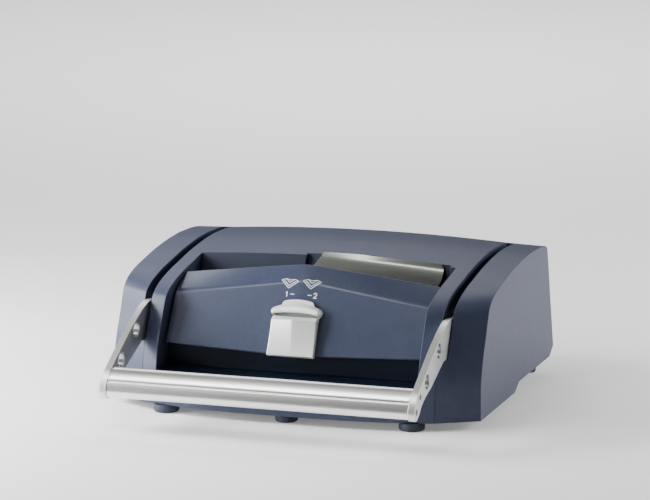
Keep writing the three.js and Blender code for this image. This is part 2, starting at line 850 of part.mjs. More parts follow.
function makeFrame(side) {
  const low = floorTop + seatGap;
  const high = floorTop + rearLift + seatGap;
  const [, stepBack, stepFront] = rearUndersideShares.map((share) => share * bodyDepth);
  const top = recessFloor - seatGap;
  const footBack = stepFront - overrun;
  const outline = [
    [frameStart, low], [footBack, low], [stepBack - overrun, high], [frameEnd, high],
    [frameEnd, pivotZ - hubRadius], [pivotY + hubRadius, pivotZ + hubRadius], [pivotY - hubRadius, top],
    [frameStart, top],
  ];
  const bore = shaftBore(pivotHole, 0, halfBody);
  const windowY = (frameStart + stepFront) / 2;
  const window = moved(rod(frameWindow, 0, halfBody, 'x', 32), 0, windowY, (low + jawBottom) / 2);
  const web = cut(plateOf(outline, frameInner, frameOuter), bore, window);
  const footTop = low + frameThickness;
  const foot = block([frameInner - frameFoot, frameOuter], [frameStart, footBack], [low, footTop]);
  const frame = join(web, foot);
  return handed(frame, side);
}

// Press jaws, their guides and the push rods

function jawTop() {
  return jawBottom + jawHeight;
}

function rodsAt(place, radius, from, to) {
  return [-1, 1].map((side) => moved(rod(radius, from, to, 'y'), side * place, 0, jawMiddle(place)));
}

function jawMiddle(place) {
  return place === camPlace ? pushZ : jawBottom + jawHeight / 2;
}

function makeFixedJaw() {
  const front = fixedJawBack - fixedJawDepth;
  const bar = plateOf([
    [front, jawBottom], [fixedJawBack, jawBottom], [fixedJawBack, jawTop() - jawLipHeight],
    [fixedJawBack - jawLip, jawTop()], [front, jawTop()],
  ], -spanHalf, spanHalf);
  const seatStart = fixedJawBack - guideSeat - seatGap;
  return cut(bar, ...rodsAt(guidePlace, guideRadius + seatGap, seatStart, fixedJawBack + overrun));
}

function makeMovingJaw() {
  const bar = plateOf([
    [movingJawFront, jawBottom], [movingJawBack, jawBottom], [movingJawBack, jawTop()],
    [movingJawFront + jawLip, jawTop()], [movingJawFront, jawTop() - jawLipHeight],
  ], -jawHalf, jawHalf);
  return cut(bar,
    ...rodsAt(guidePlace, guideRadius + runGap, movingJawFront - overrun, movingJawBack + overrun),
    ...rodsAt(camPlace, pushRadius + seatGap, movingJawBack - pushSeat - seatGap, movingJawBack + overrun));
}

function makeRearBeam() {
  const back = beamFront + beamDepth;
  const bar = block([-spanHalf, spanHalf], [beamFront, back], [jawBottom, jawTop()]);
  return cut(bar,
    ...rodsAt(guidePlace, guideRadius + seatGap, beamFront - overrun, beamFront + beamDepth / 2),
    ...rodsAt(camPlace, pushRadius + runGap, beamFront - overrun, back + overrun));
}

function makeGuideRod(side) {
  const solid = rod(guideRadius, fixedJawBack - guideSeat, beamFront + beamDepth / 2 - seatGap, 'y');
  return moved(solid, side * guidePlace, 0, jawMiddle(guidePlace));
}

function makePushRod(side) {
  const padFront = padBack - padThickness;
  const profile = [
    [0, movingJawBack - pushSeat], [pushRadius, movingJawBack - pushSeat], [pushRadius, padFront],
    [padRadius, padFront], [padRadius, padBack], [0, padBack],
  ];
  return moved(turned(profile, 'y'), side * camPlace, 0, pushZ);
}

function makeSpineRest() {
  const top = jawBottom - restGap;
  const back = restFront + restDepth;
  const line = [[restFront, top - restFlange], [restFront, top], [back, top], [back, top - restFlange]];
  return loft([-spanHalf, spanHalf].map((x) => ({ x, ring: ribbon(line, restThickness) })));
}

// Return spring: one round wire wound round the push rod, between the rear beam and the pad

class Helix extends THREE.Curve {
  constructor(radius, from, to, turns) {
    super();
    Object.assign(this, { radius, from, to, turns });
  }

  getPoint(share, target = new THREE.Vector3()) {
    const angle = 2 * Math.PI * this.turns * share;
    const along = this.from + (this.to - this.from) * share;
    return target.set(this.radius * Math.cos(angle), along, this.radius * Math.sin(angle));
  }
}

function makeSpring(side) {
  const margin = springWire / 2 + seatGap;
  const from = beamFront + beamDepth + margin;
  const to = padBack - padThickness - margin;
  const section = new THREE.Shape();
  section.absarc(0, 0, springWire / 2, 0, 2 * Math.PI);
  const geometry = new THREE.ExtrudeGeometry(section, {
    steps: springTurns * 12, curveSegments: 3, extrudePath: new Helix(springRadius, from, to, springTurns),
  });
  return moved(toSolid(geometry), side * camPlace, 0, pushZ);
}

// Selector: everything is drawn flat and then laid on the lower facet of the front panel

function facetFrame() {
  const run = panelRidge.creaseY - panelRidge.footY;
  const rise = panelRidge.creaseZ - panelRidge.footZ;
  const [upY, upZ] = unit(run, rise);
  return { upY, upZ, outY: -upZ, outZ: upY };
}

// Drawing x stays X, drawing y runs up the facet, drawing z comes out of it
function onFacet(solid, up, out) {
  const angle = Math.atan2(facet.upZ, facet.upY);
  const turnedUp = solid.rotate([THREE.MathUtils.radToDeg(angle), 0, 0]);
  return moved(turnedUp, 0,
    panelRidge.footY + up * facet.upY + out * facet.outY,
    panelRidge.footZ + up * facet.upZ + out * facet.outZ);
}

function slab(shape, from, to, curveSegments = 12) {
  const depth = to - from;
  const geometry = new THREE.ExtrudeGeometry(shape, { depth, bevelEnabled: false, curveSegments });
  geometry.translate(0, 0, from);
  return toSolid(geometry);
}

function knobOutline(grow) {
  const half = knobHalf + grow;
  const arch = knobArch + grow;
  const lean = Math.asin(half / arch);
  const shape = new THREE.Shape();
  shape.moveTo(-half, -knobBelow);
  shape.lineTo(half, -knobBelow);
  shape.absarc(0, 0, arch, Math.PI / 2 - lean, Math.PI / 2 + lean, false);
  shape.lineTo(-half, -knobBelow);
  return shape;
}

// Knob: an arched base plate, and a wedge grip with a middle ridge that runs out towards its foot
function makeKnob() {
  const base = slab(knobOutline(0), 0, knobBase);
  const grip = loftAcross([
    { y: -knobBelow, half: knobHalf, side: gripFoot, ridge: gripFoot },
    { y: gripTop - gripBevel, half: knobHalf, side: gripSide + knobBase / 2, ridge: gripRidge },
    { y: gripTop, half: knobHalf - gripBevel / 2, side: gripSide, ridge: knobBase / 2 },
  ]);
  const dish = moved(dishTool(), 0, gripTop, 0);
  const body = join(cut(base, dish, gripCut()), grip);
  const bore = rod(spindleRadius + seatGap, -overrun, knobBase / 2 + seatGap, 'z');
  return onFacet(cut(body, bore), knobPivot, seatGap * 2);
}

// Lowers the base plate below the arched rim, so that the grip stands out of a shallow dish
function dishTool() {
  const floor = knobBase / 2;
  return block([-bodyWidth, bodyWidth], [-gripBevel, knobBase * 0.9], [floor, bodyDepth]);
}

// Removes the base plate's face where the thinner grip takes its place
function gripCut() {
  return block([-bodyWidth, bodyWidth], [-bodyDepth, gripTop], [gripSide / 2, bodyDepth]);
}

// A piece made of cross-sections with a flat back, two sloping front faces and a middle ridge
function loftAcross(sections) {
  const stations = sections.map(({ y, half, side, ridge }) => ({
    x: y, ring: [[-half, 0], [-half, side], [0, ridge], [half, side], [half, 0]],
  }));
  const turn = new THREE.Matrix4().makeBasis(
    new THREE.Vector3(0, 1, 0), new THREE.Vector3(-1, 0, 0), new THREE.Vector3(0, 0, 1));
  return loft(stations).transform(turn.elements);
}

function makeSpindle() {
  const gearFace = -gearDepth - gearThickness;
  const solid = rod(spindleRadius, gearFace - bracketThickness - seatGap, knobBase / 2, 'z');
  return onFacet(solid, knobPivot, seatGap * 2);
}

// Gear sector: involute teeth round part of a hub
function makeGear() {
  const pitch = (gearModule * gearTeeth) / 2;
  const base = pitch * Math.cos(THREE.MathUtils.degToRad(pressureAngle));
  const tip = pitch + gearModule * toothTipShare;
  const root = pitch - gearModule * toothRootShare;
  const toothTurn = (2 * Math.PI) / gearTeeth;
  const halfTooth = toothTurn / 4 - runGap / (2 * pitch);
  const involute = (radius) => {
    const ratio = Math.max(1, radius / base);
    return Math.sqrt(ratio ** 2 - 1) - Math.acos(1 / ratio);
  };
  const flank = [root, base, pitch, tip].map((radius) => Math.max(radius, root));
  const outline = [];
  const start = Math.PI / 2 + ((gearShown - 1) / 2) * toothTurn;
  for (let tooth = 0; tooth < gearShown; tooth++) {
    const middle = start - tooth * toothTurn;
    const offset = (radius) => halfTooth + involute(pitch) - involute(Math.max(radius, base));
    for (const radius of flank) outline.push([radius, middle + offset(radius)]);
    for (const radius of [...flank].reverse()) outline.push([radius, middle - offset(radius)]);
  }
  const polar = ([radius, angle]) => [radius * Math.cos(angle), radius * Math.sin(angle)];
  const shape = outlineOf(outline.map(polar));
  const last = outline[outline.length - 1];
  shape.lineTo(gearHub * Math.cos(last[1]), gearHub * Math.sin(last[1]));
  shape.absarc(0, 0, gearHub, last[1], outline[0][1] - 2 * Math.PI, true);
  const bore = rod(spindleRadius + seatGap, -spindleLength, 0, 'z');
  return onFacet(cut(slab(shape, -gearDepth - gearThickness, -gearDepth), bore), knobPivot, 0);
}

// Selector bar: a straight rack that the gear sector moves sideways
function makeSelectorBar() {
  const pitch = (gearModule * gearTeeth) / 2;
  const step = Math.PI * gearModule;
  const slope = Math.tan(THREE.MathUtils.degToRad(pressureAngle));
  const tipY = pitch - gearModule * toothTipShare;
  const rootY = pitch + gearModule * toothRootShare;
  const half = rackLength / 2;
  const toothHalf = step / 4 - runGap / 2;
  const points = [[half, rootY], [half, rootY + rackBack], [-half, rootY + rackBack], [-half, rootY]];
  for (let tooth = 0; tooth < rackTeeth; tooth++) {
    const middle = (tooth - (rackTeeth - 1) / 2) * step;
    const rootHalf = toothHalf + slope * (rootY - pitch);
    const tipHalf = toothHalf - slope * (pitch - tipY);
    points.push([middle - rootHalf, rootY], [middle - tipHalf, tipY]);
    points.push([middle + tipHalf, tipY], [middle + rootHalf, rootY]);
  }
  const shape = outlineOf(points);
  return onFacet(slab(shape, -gearDepth - gearThickness, -gearDepth), knobPivot, 0);
}

function bracketMiddle() {
  return knobPivot + gearHub + bracketPost;
}

function bracketPosts() {
  const reach = bracketWidth / 2 - bracketPost * 1.5;
  return [-reach, reach];
}

function postHole() {
  return rod(bracketPost / 2 + seatGap, -panelThickness - overrun, seatGap, 'z', 12);
}

// Bracket behind the panel: bears the spindle's end and guides the selector bar
function makeBracket() {
  const face = -gearDepth - gearThickness - seatGap;
  const low = -gearHub - seatGap;
  const rear = face - bracketThickness;
  const bore = rod(spindleRadius + runGap, -spindleLength, 0, 'z');
  const side = bracketWidth / 2;
  const back = cut(block([-side, side], [low, low + bracketHeight], [rear, face]), bore);
  const pitch = (gearModule * gearTeeth) / 2;
  const railLow = pitch + gearModule * toothRootShare + rackBack + seatGap;
  const railHalf = rackLength / 2;
  const rail = block([-railHalf, railHalf], [railLow, railLow + bracketThickness], [rear, -gearDepth]);
  const shoulder = -panelThickness - bracketPost * postShoulderShare;
  const post = join(
    rod(bracketPost, face - bracketThickness / 2, shoulder, 'z', 16),
    rod(bracketPost / 2, face, -panelThickness / 2, 'z', 12));
  const posts = bracketPosts().map((x) => moved(post, x, bracketMiddle() - knobPivot, 0));
  return onFacet(join(back, rail, ...posts), knobPivot, 0);
}

// Assembly

const machine = new THREE.Group();

function addPiece(parent, name, solid, look) {
  const mesh = new THREE.Mesh(toGeometry(solid), new THREE.MeshStandardMaterial(looks[look]));
  mesh.name = name;
  parent.add(mesh);
}

const sides = [['left', -1], ['right', 1]];

function addHousing(group) {
  addPiece(group, 'base_tray', makeBase(), 'casing');
  addPiece(group, 'top_cover', makeTopCover(), 'casing');
  addPiece(group, 'front_panel', makeFrontPanel(), 'casing');
  addPiece(group, 'guide_plate', makeGuidePlate(), 'silver');
  for (const [word, side] of sides) addPiece(group, `${word}_cheek`, makeCheek(side), 'casing');
  for (const foot of feet()) addPiece(group, foot.name, makeFoot(foot), 'rubber');
}

function addPress(group) {
  for (const [word, side] of sides) {
    addPiece(group, `${word}_side_frame`, makeFrame(side), 'steel');
    addPiece(group, `${word}_shaft_bush`, makeBush(side), 'bronze');
    addPiece(group, `${word}_guide_rod`, makeGuideRod(side), 'steel');
    addPiece(group, `${word}_push_rod`, makePushRod(side), 'steel');
    addPiece(group, `${word}_return_spring`, makeSpring(side), 'steel');
  }
  addPiece(group, 'fixed_jaw', makeFixedJaw(), 'steel');
  addPiece(group, 'moving_jaw', makeMovingJaw(), 'steel');
  addPiece(group, 'rear_beam', makeRearBeam(), 'steel');
  addPiece(group, 'spine_rest', makeSpineRest(), 'steel');
}

function addHandle(group) {
  const [lowerScrew, upperScrew] = screwPlaces();
  addPiece(group, 'handle_bar', makeBar(), 'aluminium');
  addPiece(group, 'lever_shaft', makeShaft(), 'steel');
  for (const [word, side] of sides) {
    addPiece(group, `${word}_arm`, makeArm(side), 'aluminium');
    addPiece(group, `${word}_upper_arm_screw`, makeScrew(side, upperScrew), 'steel');
    addPiece(group, `${word}_lower_arm_screw`, makeScrew(side, lowerScrew), 'steel');
    addPiece(group, `${word}_shaft_retainer`, makeRetainer(side), 'steel');
    addPiece(group, `${word}_press_cam`, makeCam(side), 'steel');
  }
}

function addSelector(group) {
  addPiece(group, 'selector_knob', makeKnob(), 'silver');
  addPiece(group, 'selector_spindle', makeSpindle(), 'steel');
  addPiece(group, 'selector_gear', makeGear(), 'dark');
  addPiece(group, 'selector_bar', makeSelectorBar(), 'dark');
  addPiece(group, 'selector_bracket', makeBracket(), 'dark');
}

addHousing(machine);
addPress(machine);
addHandle(machine);
addSelector(machine);

// The origin is the middle of the footprint, on the floor
const extent = new THREE.Box3().setFromObject(machine);
machine.position.set(0, -(extent.min.y + extent.max.y) / 2, -extent.min.z);

export default machine;
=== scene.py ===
"""Dressed model of a lever binding press: crowned casing, front tray, selector knob and U handle."""
import math

import bmesh
import bpy
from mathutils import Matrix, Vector


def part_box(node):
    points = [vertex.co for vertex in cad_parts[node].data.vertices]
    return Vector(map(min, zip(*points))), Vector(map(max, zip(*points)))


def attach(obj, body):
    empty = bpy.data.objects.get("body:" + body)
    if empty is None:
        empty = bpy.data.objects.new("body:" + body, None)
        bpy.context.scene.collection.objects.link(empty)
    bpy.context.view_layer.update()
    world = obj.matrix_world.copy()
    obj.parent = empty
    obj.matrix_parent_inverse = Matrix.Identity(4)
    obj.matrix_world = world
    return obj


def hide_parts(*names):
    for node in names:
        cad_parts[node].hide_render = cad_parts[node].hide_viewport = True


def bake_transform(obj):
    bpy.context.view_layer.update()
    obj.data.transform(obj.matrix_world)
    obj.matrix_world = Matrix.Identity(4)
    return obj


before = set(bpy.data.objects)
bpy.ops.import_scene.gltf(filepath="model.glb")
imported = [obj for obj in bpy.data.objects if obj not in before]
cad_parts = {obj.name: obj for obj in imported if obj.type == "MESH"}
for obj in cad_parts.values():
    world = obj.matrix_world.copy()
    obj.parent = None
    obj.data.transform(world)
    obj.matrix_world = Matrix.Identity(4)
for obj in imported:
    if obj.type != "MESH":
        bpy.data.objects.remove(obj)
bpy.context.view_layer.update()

# Casing, in metres; depths run back from the front of the base
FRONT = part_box("base_tray")[0][1]
BODY_DEPTH = 0.406
SIDE_HEIGHT = 0.1775
GROUND_GAP = 0.010
REAR_LIFT = 0.010
HALF_COVER = 0.1875
HALF_BODY = 0.237
CHEEK_INNER = 0.1985
CROWN = 0.0075
NOSE_BOW = 0.022
CHEEK_SWEEP = 0.029
CHEEK_DROP = 0.002
SILL_HEIGHT = 0.0862
SILL_DEPTH = 0.045
SLOT_CENTRE = (0.24, 0.075)
SLOT_DEPTH = 0.42
STRIP_START = 0.84
LAP = 0.0012
STRIP_DEPTH = 0.012
SEAT_GAP = 0.0003
CASING_EDGE = 0.0015
CASING_COLUMNS = 40
PROFILE_SHARES = [
    (0.002, 0.0, 1, 0), (0.0, 0.18, 1, 0), (0.005, 0.31, 1, 0), (0.025, 0.46, 1, 0), (0.051, 0.585, 1, 0),
    (0.085, 0.734, 0.95, 0), (0.113, 0.791, 0.85, 0.05), (0.176, 0.842, 0.6, 0.1), (0.27, 0.888, 0.3, 0.4),
    (0.375, 0.925, 0.1, 0.65), (0.475, 0.96, 0, 0.85), (0.596, 0.99, 0, 1), (0.684, 1.0, 0, 1),
    (0.76, 0.997, 0, 1), (0.822, 0.99, 0, 0.95), (0.88, 0.972, 0, 0.8), (0.905, 0.942, 0, 0.4),
    (0.914, 0.896, 0, 0),
]
REAR_CORNER_SHARES = (1.0, 0.125)
UNDERSIDE_SHARES = (0.952, 0.572, 0.523)

# Recess, tray and panel
HALF_RECESS = 0.1675
RECESS_BACK = 0.182
RECESS_FLOOR = 0.126
RECESS_SLOPE = 0.014
POCKET = (-0.028, 0.160)
POCKET_DEPTH = 0.006
TRAY_HEIGHT = 0.052
TRAY_BACK = 0.057
TRAY_ROUND = 0.004
GROOVE = (0.046, 0.0016, 0.0022)
NOSE_LEAN = 0.0008
NOSE_KNEE = 0.040
TRAY_LEAN = 0.0003
BASE_FOLD = 0.014
BASE_WALL = 0.003
BASE_ROUNDINGS = [0.002, 0.02, TRAY_ROUND, 0.0003, 0.0003, 0.0003, 0.0003, 0.003]
FLOOR_INSET = 0.0033
FLOOR_REAR_INSET = 0.0011
PILLAR_KNEE = 0.100
SHADE_WALL_FACING = 0.7
FRONT_FACING = 0.6
HALF_PANEL = 0.1645
PANEL_THICKNESS = 0.003
PANEL_RIDGE = [(0.039, 0.076), (0.083, 0.162), (0.104, 0.181)]
PANEL_END = [(0.042, 0.082), (0.081, 0.141), (0.124, 0.158)]
PANEL_SLOT_FOOT = (0.127, 0.127)
RIDGE_SOFTNESS = 0.0045
PANEL_FOOT_ROUND = 0.0016
CREASE_ROUND = 0.014
TOP_ROUND = 0.002
PANEL_STEPS = 10

# Plain numbers and dashes beside the selector, across and up the panel
ONE = [(-0.0010, 0.0030), (0.0, 0.0042), (0.0, -0.0005)]
TWO = [(-0.0014, 0.0032), (-0.0006, 0.0042), (0.0008, 0.0041), (0.0013, 0.0031), (0.0010, 0.0021),
       (-0.0015, -0.0003), (0.0016, -0.0003)]
FIGURES = ((-0.0175, ONE), (0.0190, TWO))
FIGURE_SCALE = 1.4
FIGURE_LINE = 0.0011
FIGURE_UP = 0.0750
FIGURE_FALL = 0.10
DASH = ((0.0045, 0.0030), (0.0095, 0.0033))
DASH_LINE = 0.0010

# Pictograms of sheets laid in a fold, above the numbers
FOLDED_SHEET = [
    [(-0.0115, 0.0045), (-0.0005, -0.0060), (0.0115, 0.0035), (0.0060, 0.0065), (0.0, 0.0015),
     (-0.0060, 0.0070), (-0.0115, 0.0045)],
    [(-0.0085, 0.0048), (-0.0003, -0.0030), (0.0085, 0.0040)],
    [(-0.0060, 0.0070), (0.0, 0.0052), (0.0060, 0.0065)],
]
FOLD_PLACES = ((-0.0160, 0.0900), (0.0125, 0.0905))
FOLD_FALL = 0.02
FOLD_LINE = 0.0007
PRINT_STEP = 0.0015
PRINT_LIFT = (0.00012, 0.00006)

# Guide plate
PLATE = (-0.020, 0.153)
PLATE_TOP = 0.181
PLATE_STEP = 0.0012
PLATE_THICKNESS = 0.002
PLATE_LEAN = 0.024
PLATE_HEIGHT = 0.038
PLATE_HEM = 0.014
PLATE_SLANT = 0.013
PLATE_CORNER = 0.005
PLATE_TAIL = 0.006
PLATE_TAIL_POWER = 0.8
PLATE_FALL_SHARE = 0.62
PLATE_TUCK = 0.012
PLATE_TUCK_START = 0.3
PLATE_BEND = 0.0015
HEM_POINTS = 5
PLATE_LEFT = [(0.02, 0), (0.06, 0.10), (0.13, 0.30), (0.25, 0.60), (0.45, 1)]
PLATE_RIGHT = [(0.06, 0), (0.27, 0.10), (0.41, 0.28), (0.52, 0.60), (0.68, 1)]

# Handle bar
BAR_HALF = 0.189
BAR_CENTRE = (-0.079, 0.057)
BAR_TILT = math.radians(45)
BAR_LONG = 0.0206
BAR_SHORT = 0.0110
BAR_GROOVE = (-0.005, 0.0014, 0.0008)
BAR_GROOVE_SHARE = 0.62

# Round holes of the arms, and their liners
ARM_HOLE = 0.0188
ARM_HOLES = {"upper": (0.0070, 0.1035), "lower": (-0.0434, 0.0765)}
ARM_FACES = (0.1903, 0.1964)
LINER_WALL = 0.0007

# Selector knob, on the lower facet: lengths up the facet are from its pivot
KNOB_PIVOT = 0.0195
KNOB_FOOT = -0.020
KNOB_GAP = 0.0006
KNOB_WIDTHS = [(-0.020, 0.0300), (0.0295, 0.0290), (0.0355, 0.0330), (0.060, 0.0330)]
GRIP_FOOT = 0.0062
GRIP_HOLLOW = 0.0012
GRIP_EDGE = 0.0014
GRIP_RIDGE = 0.0164
GRIP_RIDGE_SOFTNESS = 0.0004
GRIP_SIDE = 0.0102
GRIP_CREST = 0.0228
GRIP_CREST_RISE = 0.0008
GRIP_TOP = 0.0296
GRIP_BACK = 0.0058
VALLEY_FLOOR = 0.0008
VALLEY_STEP = 0.0010
VALLEY_SHADE_HALF = 0.0285
RIM_INNER = 0.0344
RIM_INNER_CURVE = 2.6
RIM_OUTER = 0.0476
RIM_OUTER_CURVE = 7.2
RIM_HEIGHT = 0.0100
RIM_LIP = 0.0024
RIM_UNDERCUT = 0.0060
RIM_EDGE = 0.0020
RIM_END_ROUND = 0.0045
RIM_END_PULL = 0.6
CAVITY_TOP = RIM_HEIGHT - 1.6 * RIM_LIP
VALLEY_SHADE_TOP = RIM_HEIGHT - 1.5 * RIM_LIP
KNOB_ROUNDINGS = [0.0006, 0.0006, 0.0003, 0.0004, 0.0004, 0.0003, 0.0010]
TAB_REACH = 0.0046
TAB_HALF = 0.0205
TAB_HEIGHT = 0.0022
TAB_CORNER = 0.0035
TAB_LIP = 0.0005

# Feet
FOOT_TAPER = 0.002
FOOT_CORE = 0.0004
FOOT_HOLLOW = 0.0007
FOOT_ROUNDINGS = [0.0003, 0.0003, 0.0009, 0.0012, 0.001, 0.0004]

# Surfaces
WELD_DISTANCE = 0.00002
FLAT_ANGLE = 0.6
EDGE_ANGLE = 35
RAMP = (0.3, 0.7)
GRAIN_SCALE = 2600
GRAIN_DEPTH = 0.00006
WAVE_SCALE = 14
WAVE_STRENGTH = 0.02
WAVE_DEPTH = 0.002
CLOUD_SCALE = 55
ROUGHNESS_LESS = 0.05
ROUGHNESS_MORE = 0.07
STREAK_DEPTH = 0.00005

# Floor, light and camera
FLOOR_HALF = 6.0
MIDDLE = (-0.05, 0, 0.08)
LIGHTS = [
    ("key_left", (-1.05, -0.28, 0.66), MIDDLE, (0.75, 0.5), 30),
    ("low_left", (-1.6, -0.45, 0.32), MIDDLE, (1.0, 0.6), 16),
    ("tall_left", (-1.30, -0.95, 0.32), MIDDLE, (0.3, 0.6), 27),
    ("front_left", (-0.75, -1.1, 1.25), MIDDLE, (0.8, 0.6), 0.9),
    ("crease", (-0.41, -0.55, 1.28), (-0.41, 0, 0.08), (0.7, 0.15), 6),
    ("top", (-0.1, -0.2, 1.5), MIDDLE, (1.0, 1.0), 1.5),
    ("rear_right", (1.5, 0.75, 0.55), (0.2, 0.1, 0.08), (0.9, 0.8), 32),
    ("backdrop", (-0.6, 2.4, 2.2), (-1.0, 3.4, 0), (2.5, 1.5), 85),
    ("far_floor", (-1.2, 4.2, 2.5), (-1.5, 5.0, 0), (4, 2), 90),
]
ROOM_BRIGHT_SIDE = (0.0, -1.0, 0.1)
ROOM_FADE = (0.2, 0.98)
ROOM_LIGHT = (0.03, 0.09)
CAMERA_SENSOR = 36
CAMERA_LENS = 180.53
CAMERA_ORIGIN = 0.247
CAMERA_PLACE = (1.247617, -3.885871, 0.933272)
CAMERA_AZIMUTH = 18.126
CAMERA_ELEVATION = 10.568


# Small helpers

def catmull(points, share):
    """A point on the smooth curve through points, at a share of its count of spans."""
    place = (len(points) - 1) * share
    i = min(int(place), len(points) - 2)
    w = place - i
    last = len(points) - 1
    p0, p1, p2, p3 = points[max(i - 1, 0)], points[i], points[i + 1], points[min(i + 2, last)]
    result = []
    for a, b, c, d in zip(p0, p1, p2, p3):
        v0 = (c - a) / 2
        v1 = (d - b) / 2
        cubic = (2 * b - 2 * c + v0 + v1) * w ** 3
        square = (-3 * b + 3 * c - 2 * v0 - v1) * w * w
        result.append(cubic + square + v0 * w + b)
    return tuple(result)


def front_sweep(x):
    reach = abs(x) / HALF_COVER
    if reach <= 1:
        return NOSE_BOW * reach ** 3
    return NOSE_BOW + CHEEK_SWEEP * (abs(x) - HALF_COVER) / (HALF_BODY - HALF_COVER)


def dome(x):
    reach = abs(x) / HALF_COVER
    if reach <= 1:
        return CROWN * (1 - reach ** 2)
    return -CHEEK_DROP * (abs(x) - HALF_COVER) / (HALF_BODY - HALF_COVER)


def casing_points(x):
    return [(d * BODY_DEPTH + s * front_sweep(x), GROUND_GAP + h * (SIDE_HEIGHT - GROUND_GAP) + c * dome(x))
            for d, h, s, c in PROFILE_SHARES]


def casing_at(x, share):
    return catmull(casing_points(x), share)


def share_where(x, axis, value, low=0.0, high=1.0):
    """The share of the casing's profile at which depth (axis 0) or height (axis 1) reaches value."""
    points = casing_points(x)
    for _ in range(40):
        middle = (low + high) / 2
        if catmull(points, middle)[axis] < value:
            low = middle
        else:
            high = middle
    return (low + high) / 2


def spread(low, high, count):
    return [low + (high - low) * i / count for i in range(count + 1)]


def lerp(a, b, share):
    return tuple(p + (q - p) * share for p, q in zip(a, b))


def fillet(points, radii, steps=6):
    """An open line with each inner corner rounded to its radius."""
    line = [points[0]]
    for i in range(1, len(points) - 1):
        here = Vector(points[i])
        back = (Vector(points[i - 1]) - here).normalized()
        ahead = (Vector(points[i + 1]) - here).normalized()
        half = back.angle(ahead) / 2
        reach = radii[i - 1] / math.tan(half)
        centre = here + (back + ahead).normalized() * (radii[i - 1] / math.sin(half))
        start = here + back * reach - centre
        end = here + ahead * reach - centre
        turn = start.angle(end)
        for k in range(steps + 1):
            a = math.sin((1 - k / steps) * turn) / math.sin(turn)
            b = math.sin(k / steps * turn) / math.sin(turn)
            line.append(tuple(centre + start * a + end * b))
    line.append(points[-1])
    return line


def offset(line, distance):
    """An open line moved to its right."""
    moved = []
    for i, point in enumerate(line):
        before = Vector(line[max(i - 1, 0)])
        after = Vector(line[min(i + 1, len(line) - 1)])
        here = Vector(point)
        into = (here - before).normalized() if i else (after - here).normalized()
        out = (after - here).normalized() if i < len(line) - 1 else into
        normal = Vector((into.y + out.y, -into.x - out.x)).normalized()
        scale = max(0.35, normal.x * into.y - normal.y * into.x)
        moved.append(tuple(here + normal * (distance / scale)))
    return moved


class Sheet:
    """Collects welded points and faces in the machine's frame."""

    def __init__(self):
        self.bm = bmesh.new()
        self.made = {}

    def point(self, x, y, z):
        key = (round(x, 6), round(y, 6), round(z, 6))
        if key not in self.made:
            self.made[key] = self.bm.verts.new((x, FRONT + y, z))
        return self.made[key]

    def face(self, *corners):
        verts = []
        for corner in corners:
            vert = self.point(*corner)
            if vert not in verts:
                verts.append(vert)
        if len(verts) > 2 and not self.bm.faces.get(verts):
            self.bm.faces.new(verts)

    def grid(self, columns, keep=None):
        for i in range(len(columns) - 1):
            for j in range(len(columns[i]) - 1):
                if keep is None or keep(i, j):
                    self.face(columns[i][j], columns[i + 1][j], columns[i + 1][j + 1], columns[i][j + 1])

    def ring_loft(self, rings, capped=True):
        closed = [ring + [ring[0]] for ring in rings]
        self.grid(closed)
        if capped:
            self.face(*rings[0])
            self.face(*rings[-1])

    def build(self, name):
        bmesh.ops.recalc_face_normals(self.bm, faces=self.bm.faces)
        mesh = bpy.data.meshes.new(name)
        self.bm.to_mesh(mesh)
        self.bm.free()
        return link(name, mesh)


def link(name, data):
    piece = bpy.data.objects.new(name, data)
    bpy.context.scene.collection.objects.link(piece)
    return piece


def finish_mesh(piece, bevel=CASING_EDGE, segments=3, angle=EDGE_ANGLE, smooth_angle=50):
    """Rounds the sharp edges and shades the rest smooth."""
    piece.data.polygons.foreach_set("use_smooth", [True] * len(piece.data.polygons))
    if bevel:
        modifier = piece.modifiers.new("edge", "BEVEL")
        modifier.width = bevel
        modifier.segments = segments
        modifier.limit_method = "ANGLE"
        modifier.angle_limit = math.radians(angle)
        modifier.use_clamp_overlap = True
        modifier.miter_outer = "MITER_ARC"
        modifier.harden_normals = True
    else:
        piece.data.set_sharp_from_angle(angle=math.radians(smooth_angle))
    return piece


def dress_node(name, bevel, material, segments=2):
    """Keeps a CAD node and rounds its edges."""
    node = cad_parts[name]
    weld = node.modifiers.new("weld", "WELD")
    weld.merge_threshold = WELD_DISTANCE
    flat = node.modifiers.new("flat", "DECIMATE")
    flat.decimate_type = "DISSOLVE"
    flat.angle_limit = math.radians(FLAT_ANGLE)
    if bevel:
        edge = node.modifiers.new("edge", "BEVEL")
        edge.width = bevel
        edge.segments = segments
        edge.limit_method = "ANGLE"
        edge.angle_limit = math.radians(EDGE_ANGLE)
    smooth_by_angle(node)
    paint(node, material)


def smooth_by_angle(node):
    """Shades a CAD node smooth but for its corners, without touching its points."""
    node.data.polygons.foreach_set("use_smooth", [True] * len(node.data.polygons))
    normals = node.modifiers.new("normals", "WEIGHTED_NORMAL")
    normals.keep_sharp = True
    normals.weight = 80


def paint(piece, material):
    if piece.data.materials:
        for i in range(len(piece.data.materials)):
            piece.data.materials[i] = material
    else:
        piece.data.materials.append(material)


def repaint(piece, material, chosen):
    """Gives a second material to the faces that are chosen."""
    piece.data.materials.append(material)
    for face in piece.data.polygons:
        if chosen(face):
            face.material_index = 1


# Materials

def new_material(name, colour, roughness, metallic=0.0, **sockets):
    material = bpy.data.materials.new(name)
    material.use_nodes = True
    shader = material.node_tree.nodes["Principled BSDF"]
    shader.inputs["Base Color"].default_value = (*colour, 1)
    shader.inputs["Roughness"].default_value = roughness
    shader.inputs["Metallic"].default_value = metallic
    for socket, value in sockets.items():
        shader.inputs[socket.replace("_", " ")].default_value = value
    return material, shader


